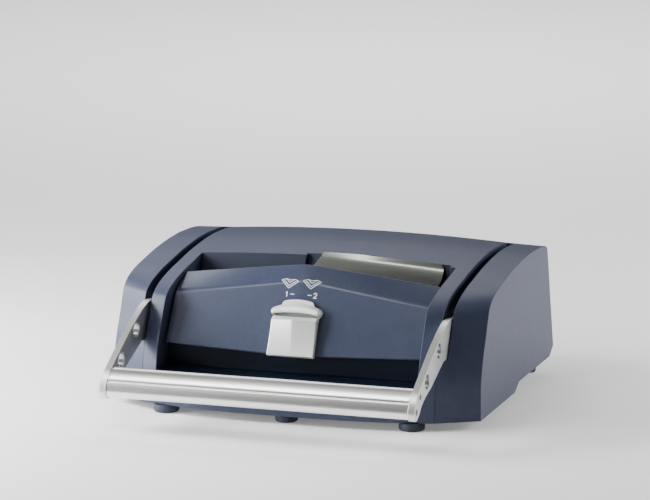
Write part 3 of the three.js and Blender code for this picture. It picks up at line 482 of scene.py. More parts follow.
def noise_node(material, scale, detail=4.0, stretch=(1, 1, 1), roughness=0.55):
    nodes, links = material.node_tree.nodes, material.node_tree.links
    place = nodes.new("ShaderNodeTexCoord")
    mapping = nodes.new("ShaderNodeMapping")
    mapping.inputs["Scale"].default_value = stretch
    texture = nodes.new("ShaderNodeTexNoise")
    texture.inputs["Scale"].default_value = scale
    texture.inputs["Detail"].default_value = detail
    texture.inputs["Roughness"].default_value = roughness
    links.new(place.outputs["Object"], mapping.inputs["Vector"])
    links.new(mapping.outputs["Vector"], texture.inputs["Vector"])
    return texture


def add_bump(material, shader, source, strength, distance, chain=None):
    nodes, links = material.node_tree.nodes, material.node_tree.links
    bump = nodes.new("ShaderNodeBump")
    bump.inputs["Strength"].default_value = strength
    bump.inputs["Distance"].default_value = distance
    links.new(source, bump.inputs["Height"])
    if chain:
        links.new(chain.outputs["Normal"], bump.inputs["Normal"])
    links.new(bump.outputs["Normal"], shader.inputs["Normal"])
    return bump


def as_colour(value):
    return (*value, 1) if isinstance(value, tuple) else (value, value, value, 1)


def ramp_between(material, source, low, high):
    """A ramp from one value or colour to another."""
    ramp = material.node_tree.nodes.new("ShaderNodeValToRGB")
    for i, value in enumerate((low, high)):
        ramp.color_ramp.elements[i].position = RAMP[i]
        ramp.color_ramp.elements[i].color = as_colour(value)
    material.node_tree.links.new(source, ramp.inputs["Fac"])
    return ramp.outputs["Color"]


def mottle(material, shader, source, colour, tone):
    """Varies the base colour by a share of its tone."""
    dark = tuple(c * (1 - tone) for c in colour)
    light = tuple(min(1.0, c * (1 + tone)) for c in colour)
    material.node_tree.links.new(ramp_between(material, source, dark, light), shader.inputs["Base Color"])


def vary_roughness(material, shader, source, low, high):
    material.node_tree.links.new(ramp_between(material, source, low, high), shader.inputs["Roughness"])


def moulded(name, colour, roughness, grain=0.25, tone=0.05, specular=0.5, metallic=0.0):
    """Moulded plastic: a fine spark-eroded grain, a slow waviness and a faint mottling of tone."""
    material, shader = new_material(name, colour, roughness, metallic, Specular_IOR_Level=specular)
    fine = noise_node(material, GRAIN_SCALE, 3.0).outputs["Fac"]
    wave = noise_node(material, WAVE_SCALE, 2.0).outputs["Fac"]
    broad = add_bump(material, shader, wave, WAVE_STRENGTH, WAVE_DEPTH)
    add_bump(material, shader, fine, grain, GRAIN_DEPTH, broad)
    cloud = noise_node(material, CLOUD_SCALE, 3.0).outputs["Fac"]
    mottle(material, shader, cloud, colour, tone)
    vary_roughness(material, shader, fine, roughness - ROUGHNESS_LESS, roughness + ROUGHNESS_MORE)
    return material


def metal(name, colour, roughness, stretch=(1, 1, 1), scale=900, streak=0.12, bump=0.15, tone=0.05):
    """Metal with a directional finish: streaks in roughness, in tone and in a shallow bump."""
    material, shader = new_material(name, colour, roughness, 1.0)
    lines = noise_node(material, scale, 5.0, stretch, 0.65).outputs["Fac"]
    vary_roughness(material, shader, lines, roughness - streak, roughness + streak)
    mottle(material, shader, lines, colour, tone)
    add_bump(material, shader, lines, bump, STREAK_DEPTH)
    return material


CASING_COLOUR = (0.039, 0.047, 0.080)
casing_plastic = moulded("casing_plastic", CASING_COLOUR, 0.42, specular=0.21)
# Painted shade: a darker blue for the recess walls under the cover's overhang
recess_painted_shade = moulded("recess_painted_shade", (0.013, 0.018, 0.034), 0.5, specular=0.2)
panel_plastic = moulded("panel_plastic", CASING_COLOUR, 0.26, grain=0.15, specular=0.40)
# Painted shade: near black for the tray, its groove and the rest of the base behind the front wall
tray_painted_shade = moulded("tray_painted_shade", (0.0015, 0.005, 0.014), 0.5, specular=0.15)
inner_plastic = moulded("inner_plastic", (0.012, 0.013, 0.016), 0.5)
knob_plastic = moulded("knob_plastic", (0.70, 0.73, 0.70), 0.36, grain=0.12, tone=0.03, metallic=0.25)
# Painted shade: a darker grey for the knob's valley and the underside of its lip
valley_painted_shade = moulded("valley_painted_shade", (0.30, 0.32, 0.31), 0.5, grain=0.3, tone=0.15)
foot_rubber = moulded("foot_rubber", (0.022, 0.027, 0.044), 0.75, grain=0.6, tone=0.2)
bar_aluminium = metal("bar_aluminium", (0.88, 0.89, 0.87), 0.30, (0.01, 1, 1), 1400, 0.02, 0.03, 0.01)
arm_aluminium = metal("arm_aluminium", (0.74, 0.75, 0.72), 0.38, (1, 1, 1), 1100, 0.10, 0.35, 0.12)
plate_metal = metal("plate_metal", (0.235, 0.25, 0.225), 0.30, (0.04, 1, 1), 900, 0.02, 0.04, 0.02)
steel = metal("zinc_steel", (0.50, 0.51, 0.53), 0.36, (1, 1, 1), 500, 0.12, 0.12, 0.08)
ground_steel = metal("ground_steel", (0.62, 0.63, 0.65), 0.24, (1, 0.03, 1), 1200, 0.08, 0.10, 0.04)
# Metal of the hole liners, darker than the arms: a metal lining, and partly painted shade inside the holes
liner_metal_and_shade = metal("liner_metal_and_shade", (0.40, 0.41, 0.42), 0.24, (1, 1, 1), 800, 0.10, 0.10, 0.05)
screw_steel = metal("screw_steel", (0.26, 0.27, 0.28), 0.28, (1, 1, 1), 800, 0.10, 0.15, 0.06)
bronze = metal("bronze", (0.55, 0.36, 0.18), 0.40, (1, 1, 1), 1400, 0.12, 0.3, 0.12)
print_white = moulded("print_white", (0.75, 0.77, 0.82), 0.55, grain=0.1, tone=0.04)


# Top cover

def recess_wall_depth(back, height):
    high = SIDE_HEIGHT + CROWN
    lift = share_height(HALF_RECESS, RECESS_BACK)
    slope = RECESS_SLOPE / (lift - RECESS_FLOOR)
    return back - RECESS_SLOPE + slope * (min(height, high) - RECESS_FLOOR)


def share_height(x, depth):
    return casing_at(x, share_where(x, 0, depth))[1]


def wall_meets_skin(back, x):
    """Where the sloped recess wall reaches the casing's skin."""
    depth = back
    for _ in range(6):
        depth = recess_wall_depth(back, share_height(x, depth))
    return depth


def build_top_cover():
    sheet = Sheet()
    inside = [HALF_RECESS * s for s in spread(-1, 1, CASING_COLUMNS)]
    inside = sorted(set(round(x, 6) for x in inside + list(POCKET)))
    side = spread(HALF_RECESS, HALF_COVER, 5)[1:]
    xs = [-x for x in reversed(side)] + inside + side
    front_rows, rear_rows = 70, 46
    columns = []
    for x in xs:
        near = share_where(x, 0, wall_meets_skin(RECESS_BACK, x))
        far = share_where(x, 0, wall_meets_skin(RECESS_BACK + POCKET_DEPTH, x))
        shares = spread(0, near, front_rows) + spread(far, 1, rear_rows)
        line = [(x, *casing_at(x, share)) for share in shares]
        line += [(x, y, z) for y, z in rear_points(6)]
        columns.append(line)

    def in_pocket(i):
        return POCKET[0] - 1e-6 <= xs[i] and xs[i + 1] <= POCKET[1] + 1e-6

    def in_recess(i):
        return xs[i] >= -HALF_RECESS - 1e-6 and xs[i + 1] <= HALF_RECESS + 1e-6

    def keep(i, j):
        if in_recess(i) and j < front_rows:
            return False
        return not (in_pocket(i) and j == front_rows)

    sheet.grid(columns, keep)
    recess_walls(sheet, xs, columns, front_rows, in_recess, in_pocket)
    for side_sign in (-1, 1):
        pillar(sheet, columns[xs.index(side_sign * inside[-1])][:front_rows + 1], side_sign * HALF_RECESS)
        outline = columns[0 if side_sign < 0 else -1]
        wall = [p for p in outline if p[2] > SILL_HEIGHT]
        sheet.grid([wall, [(p[0], *lerp(p[1:], SLOT_CENTRE, SLOT_DEPTH)) for p in wall]])
        feet_line = [column[0] for column in columns if abs(column[0][0]) >= HALF_RECESS - 1e-6
                     and column[0][0] * side_sign > 0]
        sheet.grid([feet_line, [(p[0], TRAY_BACK, GROUND_GAP) for p in feet_line]])
    piece = finish_mesh(sheet.build("top_cover_shell"))
    paint(piece, casing_plastic)
    # Paints shade onto the recess walls with the darker blue
    repaint(piece, recess_painted_shade, on_shaded_recess_wall)
    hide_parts("top_cover")
    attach(piece, "housing")


def on_shaded_recess_wall(face):
    """True on the walls of the recess that stand across the machine, which are painted a darker blue as
    shade.
    """
    depth = face.center.y - FRONT
    inside = abs(face.center.x) < HALF_RECESS and depth < RECESS_BACK + 2 * POCKET_DEPTH
    return inside and abs(face.normal.y) > SHADE_WALL_FACING


def rear_points(count):
    """The casing's rear wall, its lower corner and the start of its underside."""
    top = casing_at(0, 1)
    rise = SIDE_HEIGHT - GROUND_GAP
    corner = (REAR_CORNER_SHARES[0] * BODY_DEPTH, GROUND_GAP + REAR_CORNER_SHARES[1] * rise)
    heel = (UNDERSIDE_SHARES[0] * BODY_DEPTH, GROUND_GAP + REAR_LIFT)
    return [lerp(top, corner, s) for s in spread(0, 1, count)[1:]] + [heel]


def recess_walls(sheet, xs, columns, edge_row, in_recess, in_pocket):
    rows = 8

    def wall_line(x, top, back):
        return [(x, recess_wall_depth(back, z), z) for z in spread(top[2], RECESS_FLOOR, rows)]

    for i in range(len(xs) - 1):
        if not in_recess(i):
            continue
        row = edge_row + 1 if in_pocket(i) else edge_row
        back = RECESS_BACK + (POCKET_DEPTH if in_pocket(i) else 0)
        sheet.grid([wall_line(xs[k], columns[k][row], back) for k in (i, i + 1)])
    for x in POCKET:
        k = xs.index(x)
        near = wall_line(x, columns[k][edge_row], RECESS_BACK)
        far = wall_line(x, columns[k][edge_row + 1], RECESS_BACK + POCKET_DEPTH)
        sheet.grid([[columns[k][edge_row]] + near[1:], [columns[k][edge_row + 1]] + far[1:]])


def pillar(sheet, outline, x):
    """The inner wall of a front pillar, from its outline back to the panel."""
    back = [(TRAY_BACK, GROUND_GAP), (TRAY_BACK, PILLAR_KNEE), (PANEL_END[1][0], RECESS_FLOOR),
            (RECESS_BACK - RECESS_SLOPE, RECESS_FLOOR), (outline[-1][1], outline[-1][2])]
    lengths = [math.dist(a, b) for a, b in zip(back, back[1:])]
    total = sum(lengths)

    def along(share):
        left = share * total
        for a, b, length in zip(back, back[1:], lengths):
            if left <= length:
                return lerp(a, b, left / length)
            left -= length
        return back[-1]

    inner = [(x, *along(i / (len(outline) - 1))) for i in range(len(outline))]
    sheet.grid([outline, inner])


# Side cheeks, each with the sill that closes the arm slot at the front and the strip that closes it behind

def build_cheek(side, name):
    sheet = Sheet()
    inner_edge = HALF_COVER + SEAT_GAP
    xs = [inner_edge] + spread(CHEEK_INNER, HALF_BODY, 8)
    low_rows, high_rows, rear_count = 22, 84, 6
    columns = []
    for x in xs:
        sill = share_where(x, 1, SILL_HEIGHT, 0.0, 0.6)
        shares = spread(0, sill, low_rows) + spread(sill, 1, high_rows)[1:]
        line = [(side * x, *casing_at(x, share)) for share in shares]
        line += [(side * x, y, z) for y, z in rear_points(rear_count)]
        heel, step_back, step_front = (s * BODY_DEPTH for s in UNDERSIDE_SHARES)
        line += [(side * x, step_back, GROUND_GAP + REAR_LIFT), (side * x, step_front, GROUND_GAP), line[0]]
        columns.append(line)
    top_row = low_rows + high_rows
    strip_row = low_rows + round(high_rows * STRIP_START)

    def keep(i, j):
        return i > 0 or j < low_rows or j >= strip_row

    sheet.grid(columns, keep)
    sheet.face(*columns[-1][:-1])
    wall = columns[1][low_rows:strip_row + 1]
    sheet.grid([wall, [(p[0], *lerp(p[1:], SLOT_CENTRE, SLOT_DEPTH)) for p in wall]])
    top = columns[0][strip_row:top_row + 1]
    sheet.grid([top, [(p[0], p[1], p[2] - STRIP_DEPTH) for p in top]])
    low = columns[0][:low_rows + 1]
    lap = [(p[0], p[1] + LAP, p[2]) for p in low]
    sheet.grid([low, lap, [(p[0] - side * LAP, p[1], p[2]) for p in lap]])
    rear = columns[0][top_row:-3]
    sheet.grid([rear, [(p[0], p[1] - SILL_DEPTH, p[2]) for p in rear]])
    seat = [columns[0][low_rows], columns[1][low_rows]]
    sheet.grid([seat, [(p[0], p[1] + SILL_DEPTH, p[2]) for p in seat]])
    end = [columns[0][strip_row], columns[1][strip_row]]
    sheet.grid([end, [(p[0], p[1], p[2] - STRIP_DEPTH) for p in end]])
    piece = finish_mesh(sheet.build(f"{name}_shell"))
    paint(piece, casing_plastic)
    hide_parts(name)
    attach(piece, "housing")


# Base with its tray

def build_base():
    sheet = Sheet()
    half = HALF_RECESS - SEAT_GAP
    groove_at, groove_width, groove_deep = GROOVE
    groove_end = groove_at + groove_width
    groove_floor = TRAY_HEIGHT - groove_deep
    rings = []
    for x in spread(-half, half, CASING_COLUMNS):
        sweep = front_sweep(x)
        top = panel_section_points(x)[0][1] - SEAT_GAP
        outer = fillet([
            (sweep + BASE_FOLD, GROUND_GAP), (NOSE_LEAN + sweep, GROUND_GAP), (sweep, NOSE_KNEE),
            (sweep + TRAY_LEAN, TRAY_HEIGHT), (groove_at, TRAY_HEIGHT), (groove_at, groove_floor),
            (groove_end, groove_floor), (groove_end, TRAY_HEIGHT), (TRAY_BACK, TRAY_HEIGHT), (TRAY_BACK, top),
        ], BASE_ROUNDINGS, 5)
        low, high = GROUND_GAP + BASE_WALL, TRAY_HEIGHT - 2 * BASE_WALL
        inner = [(sweep + BASE_FOLD, low), (sweep + BASE_WALL, low), (sweep + BASE_WALL, high),
                 (TRAY_BACK + BASE_WALL, high), (TRAY_BACK + BASE_WALL, top)]
        rings.append([(x, *p) for p in outer + inner[::-1]])
    sheet.ring_loft(rings)
    floor_plate(sheet)
    piece = finish_mesh(sheet.build("base_moulding"), 0.0004, 2)
    # Paints the tray and the base behind its front wall near black as shade; only the front wall keeps the
    # casing colour
    paint(piece, tray_painted_shade)
    repaint(piece, casing_plastic, on_front_wall)
    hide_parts("base_tray")
    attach(piece, "housing")


def on_front_wall(face):
    """True on the base's front wall."""
    depth = face.center.y - FRONT - front_sweep(face.center.x)
    return abs(face.normal.y) > FRONT_FACING and depth < BASE_WALL


def floor_plate(sheet):
    half = HALF_BODY - FLOOR_INSET
    heel, step_back, step_front = (s * BODY_DEPTH for s in UNDERSIDE_SHARES)
    rear = heel - FLOOR_REAR_INSET
    low, high = GROUND_GAP, GROUND_GAP + REAR_LIFT
    rings = []
    for x in [-half] + spread(-HALF_COVER, HALF_COVER, CASING_COLUMNS) + [half]:
        front = front_sweep(x) + NOSE_LEAN + FLOOR_INSET
        under = [(x, front, low), (x, step_front, low), (x, step_back, high), (x, rear, high)]
        above = [(x, y, z + BASE_WALL) for _, y, z in under]
        rings.append(above + under[::-1])
    sheet.ring_loft(rings)


# Front panel

def panel_section_points(x):
    share = min(1.0, math.sqrt(x * x + RIDGE_SOFTNESS ** 2) / HALF_PANEL)
    return [lerp(a, b, share) for a, b in zip(PANEL_RIDGE, PANEL_END)]


def panel_outer(x):
    foot, crease, top = panel_section_points(x)
    return fillet([(TRAY_BACK + PANEL_THICKNESS, foot[1]), foot, crease, top, PANEL_SLOT_FOOT],
                  [PANEL_FOOT_ROUND, CREASE_ROUND, TOP_ROUND], PANEL_STEPS)


def build_panel():
    sheet = Sheet()
    steps = 60
    xs = [HALF_PANEL * s * abs(s) ** 0.5 for s in spread(-1, 1, steps)]
    rings = []
    for x in xs:
        outer = panel_outer(x)
        inner = offset(outer, PANEL_THICKNESS)
        rings.append([(x, *p) for p in outer + inner[::-1]])
    sheet.ring_loft(rings)
    piece = finish_mesh(sheet.build("front_panel_shell"), 0.0006, 2, 60)
    paint(piece, panel_plastic)
    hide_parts("front_panel")
    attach(piece, "housing")


# Guide plate

def plate_line(x):
    top = share_height(x, PLATE_TOP) - PLATE_STEP
    back = RECESS_BACK + POCKET_DEPTH

    def wall_at(z):
        return recess_wall_depth(back, z) - SEAT_GAP - PLATE_THICKNESS

    across = max(0.0, min(1.0, (x - PLATE[0]) / (PLATE[1] - PLATE[0])))
    front = []
    for straight, curved in zip(PLATE_LEFT, PLATE_RIGHT):
        lean, drop = lerp(straight, curved, across)
        front.append((wall_at(top) - lean * PLATE_LEAN, top - drop * PLATE_HEIGHT))
    hem = top - PLATE_HEM
    crown = (wall_at(top - PLATE_THICKNESS), top - PLATE_THICKNESS)
    smooth = [catmull(front, s) for s in spread(0, 1, 22)]
    return fillet([(wall_at(hem), hem), crown, smooth[0]], [PLATE_BEND], 4)[:-1] + smooth


def plate_ends(depth, inside):
    """Where the sheet starts and ends across, at a depth below its top or inside the pocket."""
    if inside:
        return PLATE[0] + PLATE_SLANT, PLATE[1] - PLATE_CORNER
    drop = min(1.0, depth / (PLATE_HEIGHT * PLATE_FALL_SHARE))
    reach = (PLATE_SLANT + PLATE_TAIL) * drop ** PLATE_TAIL_POWER
    near_top = max(0.0, 1 - depth / PLATE_CORNER)
    corner = PLATE_CORNER * (1 - math.sqrt(1 - near_top ** 2))
    tuck = PLATE_TUCK * max(0.0, drop - PLATE_TUCK_START) ** 2
    return PLATE[0] + (PLATE_SLANT - reach), PLATE[1] - (corner + tuck)


def build_guide_plate():
    """The sheet hangs from its hem, bends over the pocket's edge and comes down in front."""
    sheet = Sheet()
    fall = [point[1] for point in plate_line(0)]
    top = max(fall)
    rings = []
    for u in spread(0, 1, 60):
        face, back = [], []
        for k, height in enumerate(fall):
            start, end = plate_ends(top - height, k < HEM_POINTS)
            x = start + (end - start) * u
            line = plate_line(x)
            face.append((x, *line[k]))
            back.append((x, *offset(line, PLATE_THICKNESS)[k]))
        rings.append(face + back[::-1])
    sheet.ring_loft(rings)
    piece = finish_mesh(sheet.build("guide_plate_sheet"), 0.0004, 2, 55)
    paint(piece, plate_metal)
    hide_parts("guide_plate")
    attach(piece, "housing")


# Handle bar

def tilted(u, v):
    return (BAR_CENTRE[0] + u * math.cos(BAR_TILT) - v * math.sin(BAR_TILT),
            BAR_CENTRE[1] + u * math.sin(BAR_TILT) + v * math.cos(BAR_TILT))


def build_bar():
    sheet = Sheet()
    at, width, deep = BAR_GROOVE
    outline = []
    steps = 120
    for i in range(steps):
        angle = 2 * math.pi * i / steps
        u, v = BAR_LONG * math.cos(angle), BAR_SHORT * math.sin(angle)
        if v > 0:
            near = max(0.0, 1 - (abs(u - at) / (width * BAR_GROOVE_SHARE)) ** 4)
            v -= deep * near
        outline.append(tilted(u, v))
    rings = [[(x, *p) for p in outline] for x in spread(-BAR_HALF, BAR_HALF, 12)]
    sheet.ring_loft(rings)
    piece = finish_mesh(sheet.build("handle_bar_grip"), 0.0008, 3, 50)
    paint(piece, bar_aluminium)
    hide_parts("handle_bar")
    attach(piece, "handle")


# Selector knob

def facet_axes():
    run = PANEL_RIDGE[1][0] - PANEL_RIDGE[0][0]
    rise = PANEL_RIDGE[1][1] - PANEL_RIDGE[0][1]
    size = math.hypot(run, rise)
    return run / size, rise / size


def on_facet(x, up, out):
    """Drawing places on the lower facet: across, up the facet from its foot, and out of it."""
    up_y, up_z = facet_axes()
    return (x, PANEL_RIDGE[0][0] + up * up_y - out * up_z, PANEL_RIDGE[0][1] + up * up_z + out * up_y)


def between(table, place):
    """A value from a table of (place, value) pairs, eased from one pair to the next."""
    for (p0, v0), (p1, v1) in zip(table, table[1:]):
        if place <= p1:
            share = max(0.0, (place - p0) / (p1 - p0))
            return v0 + (v1 - v0) * share * share * (3 - 2 * share)
    return table[-1][1]


def rounded_edge(distance, radius):
    """The share of the full height, at a distance from an edge with this rounding."""
    if distance >= radius:
        return 1.0
    return math.sqrt(max(0.0, 1 - (1 - distance / radius) ** 2))


def knob_section(share):
    """A line up the facet and out of it: foot, concave grip, bevel, valley, rim and tab."""
    across = share * KNOB_WIDTHS[-1][1]
    soft = math.sqrt(share ** 2 + GRIP_RIDGE_SOFTNESS)
    crest = (GRIP_CREST + GRIP_CREST_RISE * soft, GRIP_RIDGE + (GRIP_SIDE - GRIP_RIDGE) * soft)
    end_round = RIM_END_ROUND * (1 - rounded_edge(KNOB_WIDTHS[-1][1] * (1 - abs(share)), RIM_END_ROUND))
    inner = RIM_INNER - RIM_INNER_CURVE * across ** 2
    outer = RIM_OUTER - RIM_OUTER_CURVE * across ** 2 - end_round * RIM_END_PULL
    tab = TAB_LIP + TAB_REACH * rounded_edge(max(0.0, TAB_HALF - abs(across)), TAB_CORNER)
    facet = []
    for t in spread(0, 1, 14):
        up, out = lerp((KNOB_FOOT, GRIP_FOOT), crest, t)
        facet.append((up, out - GRIP_HOLLOW * math.sin(math.pi * t)))
    front = fillet([(KNOB_FOOT, 0), facet[0], facet[1]], [0.0008], 4)[:-1]
    rim = [(inner + (outer - inner) * math.sin(a), RIM_EDGE + (RIM_HEIGHT - RIM_EDGE) * math.cos(a))
           for a in spread(0, math.pi / 2, 16)]
    under = inner + RIM_UNDERCUT
    back = fillet([facet[-2], crest, (GRIP_TOP, GRIP_BACK), (GRIP_TOP + VALLEY_STEP, VALLEY_FLOOR),
                   (under, VALLEY_FLOOR), (under, CAVITY_TOP), (inner, RIM_HEIGHT - RIM_LIP),
                   rim[0], rim[2]], KNOB_ROUNDINGS, 5)
    tail = fillet([rim[-1], (outer + tab, TAB_HEIGHT), (outer + tab, 0)], [0.0002], 4)
    return front + facet[1:-2] + back[:-1] + rim[2:-1] + tail, inner


def build_knob():
    sheet = Sheet()
    across = 96
    columns = []
    for i in range(across + 1):
        share = math.sin((i / across - 0.5) * math.pi)
        line, inner = knob_section(share)
        column = []
        for up, out in line:
            width = between(KNOB_WIDTHS, up)
            edge = width * (1 - abs(share))
            if up < inner - VALLEY_STEP:
                out = max(0.0, out - GRIP_EDGE * (1 - rounded_edge(edge, GRIP_EDGE)))
            elif out > RIM_EDGE:
                out = RIM_EDGE + (out - RIM_EDGE) * rounded_edge(edge, RIM_END_ROUND)
            column.append(on_facet(share * width, KNOB_PIVOT + up, KNOB_GAP + out))
        columns.append(column)
    sheet.grid(columns)
    for column in (columns[0], columns[-1]):
        sheet.grid([column, [down_to_facet(point) for point in column]])
    piece = finish_mesh(sheet.build("selector_knob_body"), 0, smooth_angle=60)
    paint(piece, knob_plastic)
    # Paints shade into the valley and under the rim's lip with the darker grey
    repaint(piece, valley_painted_shade, in_valley_shade)
    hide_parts("selector_knob")
    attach(piece, "selector")


def in_valley_shade(face):
    """True on the valley's floor and under the rim's lip, away from the knob's two sides: the faces painted a
    darker grey as shade.
    """
    up_y, up_z = facet_axes()
    point = face.center
    y, z = point.y - FRONT - PANEL_RIDGE[0][0], point.z - PANEL_RIDGE[0][1]
    up = y * up_y + z * up_z - KNOB_PIVOT
    out = z * up_y - y * up_z - KNOB_GAP
    inner = RIM_INNER - RIM_INNER_CURVE * point.x ** 2
    return (abs(point.x) < VALLEY_SHADE_HALF and GRIP_TOP < up < inner + RIM_UNDERCUT + VALLEY_STEP
            and out < VALLEY_SHADE_TOP)


def down_to_facet(point):
    up_y, up_z = facet_axes()
    out = -(point[1] - PANEL_RIDGE[0][0]) * up_z + (point[2] - PANEL_RIDGE[0][1]) * up_y - KNOB_GAP
    return (point[0], point[1] + out * up_z, point[2] - out * up_y)


# Printed marks on the panel

def on_panel(x, up):
    """A place on the panel's face: across, and the length up the face from its foot."""
    line = panel_outer(x)[PANEL_STEPS + 1:]
    left = up
    for a, b in zip(line, line[1:]):
        length = math.dist(a, b)
        if left <= length:
            y, z = lerp(a, b, left / length)
            return (x, y - PRINT_LIFT[0], z + PRINT_LIFT[1])
        left -= length
    return (x, *line[-1])


def stroke(sheet, points, width):
    """A flat printed line through points given across and up the panel."""
    dense = []
    for a, b in zip(points, points[1:]):
        count = max(1, int(math.dist(a, b) / PRINT_STEP))
        dense += [lerp(a, b, i / count) for i in range(count)]
    dense.append(points[-1])
    left, right = [], []
    for i, point in enumerate(dense):
        a, b = dense[max(i - 1, 0)], dense[min(i + 1, len(dense) - 1)]
        run = Vector((b[0] - a[0], b[1] - a[1])).normalized() * width / 2
        left.append(on_panel(point[0] - run.y, point[1] + run.x))
        right.append(on_panel(point[0] + run.y, point[1] - run.x))
    sheet.grid([left, right])


def build_marks():
    sheet = Sheet()
    for middle, up in FOLD_PLACES:
        base = up - FOLD_FALL * abs(middle)
        for line in FOLDED_SHEET:
            stroke(sheet, [(middle + x, base + y) for x, y in line], FOLD_LINE)
    for middle, figure in FIGURES:
        base = FIGURE_UP - FIGURE_FALL * abs(middle)
        stroke(sheet, [(middle + x * FIGURE_SCALE, base + y * FIGURE_SCALE) for x, y in figure], FIGURE_LINE)
        towards = 1 if middle < 0 else -1
        stroke(sheet, [(middle + towards * x, base + y) for x, y in DASH], DASH_LINE)
    piece = sheet.build("panel_marks")
    paint(piece, print_white)
    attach(piece, "housing")


# Feet

def build_foot(name):
    low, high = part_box(name)
    radius = (high[0] - low[0]) / 2
    centre = ((low[0] + high[0]) / 2, (low[1] + high[1]) / 2)
    seat = GROUND_GAP if "front" in name else GROUND_GAP + REAR_LIFT
    top = seat - SEAT_GAP
    profile = fillet([
        (FOOT_CORE, FOOT_HOLLOW), (radius * 0.35, FOOT_HOLLOW), (radius * 0.38, 0.0),
        (radius - FOOT_TAPER, 0.0), (radius, FOOT_TAPER), (radius, top * 0.62), (radius * 0.93, top),
        (FOOT_CORE, top),
    ], FOOT_ROUNDINGS, 4)
    mesh = bpy.data.meshes.new(name)
    bm = bmesh.new()
    turns = 56
    rings = []
    for k in range(turns):
        angle = 2 * math.pi * k / turns
        across, along = math.cos(angle), math.sin(angle)
        rings.append([bm.verts.new((centre[0] + r * across, centre[1] + r * along, low[2] + z))
                      for r, z in profile])
    for k in range(turns):
        a, b = rings[k], rings[(k + 1) % turns]
        for j in range(len(profile) - 1):
            bm.faces.new((a[j], b[j], b[j + 1], a[j + 1]))
    bm.faces.new([ring[0] for ring in rings])
    bm.faces.new([ring[-1] for ring in rings])
    bmesh.ops.recalc_face_normals(bm, faces=bm.faces)
    bm.to_mesh(mesh)
    bm.free()
    piece = finish_mesh(link(f"{name}_pad", mesh), 0)
    paint(piece, foot_rubber)
    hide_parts(name)
    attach(piece, "housing")


# Springs, which stretch between the rear beam and the push rod's pad

def build_spring(side):
    name = f"{side}_return_spring"
    low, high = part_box(name)
    wire = 0.001
    radius = (high[0] - low[0]) / 2 - wire
    centre = ((low[0] + high[0]) / 2, (low[2] + high[2]) / 2)
    start, end = low[1] + wire, high[1] - wire
    count, sides, turns = 200, 10, 4
    bm = bmesh.new()
    rings = []
    for i in range(count + 1):
        share = i / count
        angle = 2 * math.pi * turns * share
        middle = Vector((centre[0] + radius * math.cos(angle), start + (end - start) * share,
                         centre[1] + radius * math.sin(angle)))
        out = Vector((math.cos(angle), 0, math.sin(angle)))
        rings.append([bm.verts.new(middle + wire * (out * math.cos(t) + Vector((0, 1, 0)) * math.sin(t)))
                      for t in (2 * math.pi * k / sides for k in range(sides))])
    for a, b in zip(rings, rings[1:]):
        for k in range(sides):
            bm.faces.new((a[k], b[k], b[(k + 1) % sides], a[(k + 1) % sides]))
    bm.faces.new(rings[0])
    bm.faces.new(rings[-1])
    bmesh.ops.recalc_face_normals(bm, faces=bm.faces)
    mesh = bpy.data.meshes.new(f"{name}_wire")
    bm.to_mesh(mesh)
    bm.free()
    mesh.polygons.foreach_set("use_smooth", [True] * len(mesh.polygons))
    piece = link(f"{name}_wire", mesh)
    paint(piece, ground_steel)
    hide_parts(name)
    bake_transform(piece)


# Liners in the round holes of the arms

def build_liner(side, word, place, height):
    sheet = Sheet()
    outer, inner = ARM_HOLE / 2, ARM_HOLE / 2 - LINER_WALL
    near, far = ARM_FACES
    section = [(near, inner), (far, inner), (far, outer), (near, outer)]
    rings = []
    for angle in spread(0, 2 * math.pi, 64):
        rings.append([(side * x, place[0] + radius * math.cos(angle), place[1] + radius * math.sin(angle))
                      for x, radius in section])
    sheet.ring_loft(rings, capped=False)
    piece = finish_mesh(sheet.build(f"{word}_{height}_hole_liner"), 0.0002, 2)
    # The liner's darker metal also paints shade on the hole walls
    paint(piece, liner_metal_and_shade)
    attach(piece, "handle")


# Build every piece

build_top_cover()
build_cheek(-1, "left_cheek")
build_cheek(1, "right_cheek")
build_base()
build_panel()
build_guide_plate()
build_bar()
build_knob()
build_marks()
for foot_name in [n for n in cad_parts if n.endswith("_foot")]:
    build_foot(foot_name)
for side, word in ((-1, "left"), (1, "right")):
    build_spring(word)
    for hole_height, hole_place in ARM_HOLES.items():
        build_liner(side, word, hole_place, hole_height)
    dress_node(f"{word}_arm", 0.0009, arm_aluminium, 3)
    dress_node(f"{word}_upper_arm_screw", 0.0002, screw_steel)
    dress_node(f"{word}_lower_arm_screw", 0.0002, screw_steel)
    dress_node(f"{word}_shaft_retainer", 0.0006, steel)
    dress_node(f"{word}_press_cam", 0.0006, ground_steel)
    dress_node(f"{word}_side_frame", 0.0005, steel)
    dress_node(f"{word}_shaft_bush", 0.0004, bronze)
    dress_node(f"{word}_guide_rod", 0.0006, ground_steel)
    dress_node(f"{word}_push_rod", 0.0006, ground_steel)
dress_node("lever_shaft", 0.0006, ground_steel)
for node_name in ("fixed_jaw", "moving_jaw", "rear_beam", "spine_rest"):
    dress_node(node_name, 0.0006, steel)
for node_name in ("selector_gear", "selector_bar", "selector_bracket"):
    dress_node(node_name, 0.0003, inner_plastic)
dress_node("selector_spindle", 0.0003, ground_steel)


# Stage

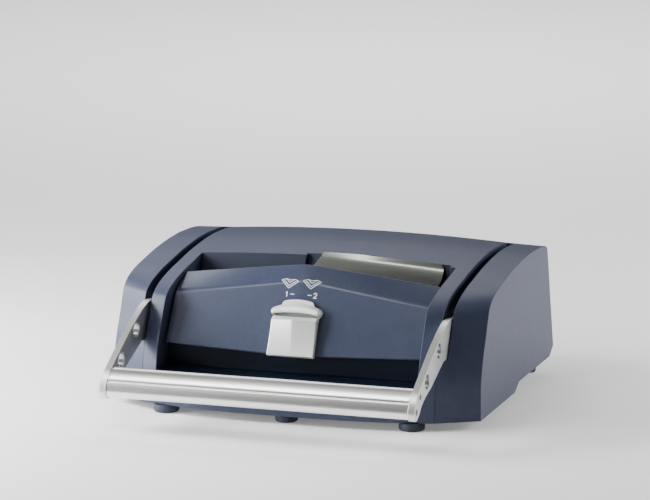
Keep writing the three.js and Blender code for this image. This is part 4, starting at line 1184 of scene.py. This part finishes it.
def area_light(name, place, target, size, power):
    light = bpy.data.lights.new(name, "AREA")
    light.shape = "RECTANGLE"
    light.size, light.size_y = size
    light.energy = power
    lamp = link(name, light)
    lamp.location = place
    lamp.rotation_euler = (Vector(target) - Vector(place)).to_track_quat("-Z", "Y").to_euler()


def build_stage():
    mesh = bpy.data.meshes.new("floor")
    corners = [(x * FLOOR_HALF, y * FLOOR_HALF, 0) for x, y in ((-1, -1), (1, -1), (1, 1), (-1, 1))]
    mesh.from_pydata(corners, [], [(0, 1, 2, 3)])
    floor = link("floor", mesh)
    glow = {"Emission_Color": (1, 1, 1, 1), "Emission_Strength": 0.2}
    material, _ = new_material("floor_white", (0.90, 0.90, 0.91), 0.7, **glow)
    paint(floor, material)
    build_world()
    for light in LIGHTS:
        area_light(*light)


def build_world():
    """A dim room, lighter in front of the machine."""
    world = bpy.data.worlds.new("studio")
    world.use_nodes = True
    nodes, links = world.node_tree.nodes, world.node_tree.links
    place = nodes.new("ShaderNodeTexCoord")
    along = nodes.new("ShaderNodeVectorMath")
    along.operation = "DOT_PRODUCT"
    along.inputs[1].default_value = Vector(ROOM_BRIGHT_SIDE).normalized()
    fade = nodes.new("ShaderNodeMapRange")
    fade.interpolation_type = "SMOOTHSTEP"
    for word, (low, high) in (("From", ROOM_FADE), ("To", ROOM_LIGHT)):
        fade.inputs[f"{word} Min"].default_value = low
        fade.inputs[f"{word} Max"].default_value = high
    links.new(place.outputs["Generated"], along.inputs[0])
    links.new(along.outputs["Value"], fade.inputs["Value"])
    links.new(fade.outputs["Result"], nodes["Background"].inputs["Strength"])
    nodes["Background"].inputs["Color"].default_value = (1, 1, 1, 1)
    bpy.context.scene.world = world


def build_camera():
    camera = bpy.data.cameras.new("camera")
    camera.sensor_width = CAMERA_SENSOR
    camera.lens = CAMERA_LENS
    holder = link("camera", camera)
    x, y, z = CAMERA_PLACE
    holder.location = (x, FRONT + CAMERA_ORIGIN + y, z)
    holder.rotation_euler = (math.pi / 2 - math.radians(CAMERA_ELEVATION), 0, math.radians(CAMERA_AZIMUTH))
    bpy.context.scene.camera = holder


build_stage()
build_camera()
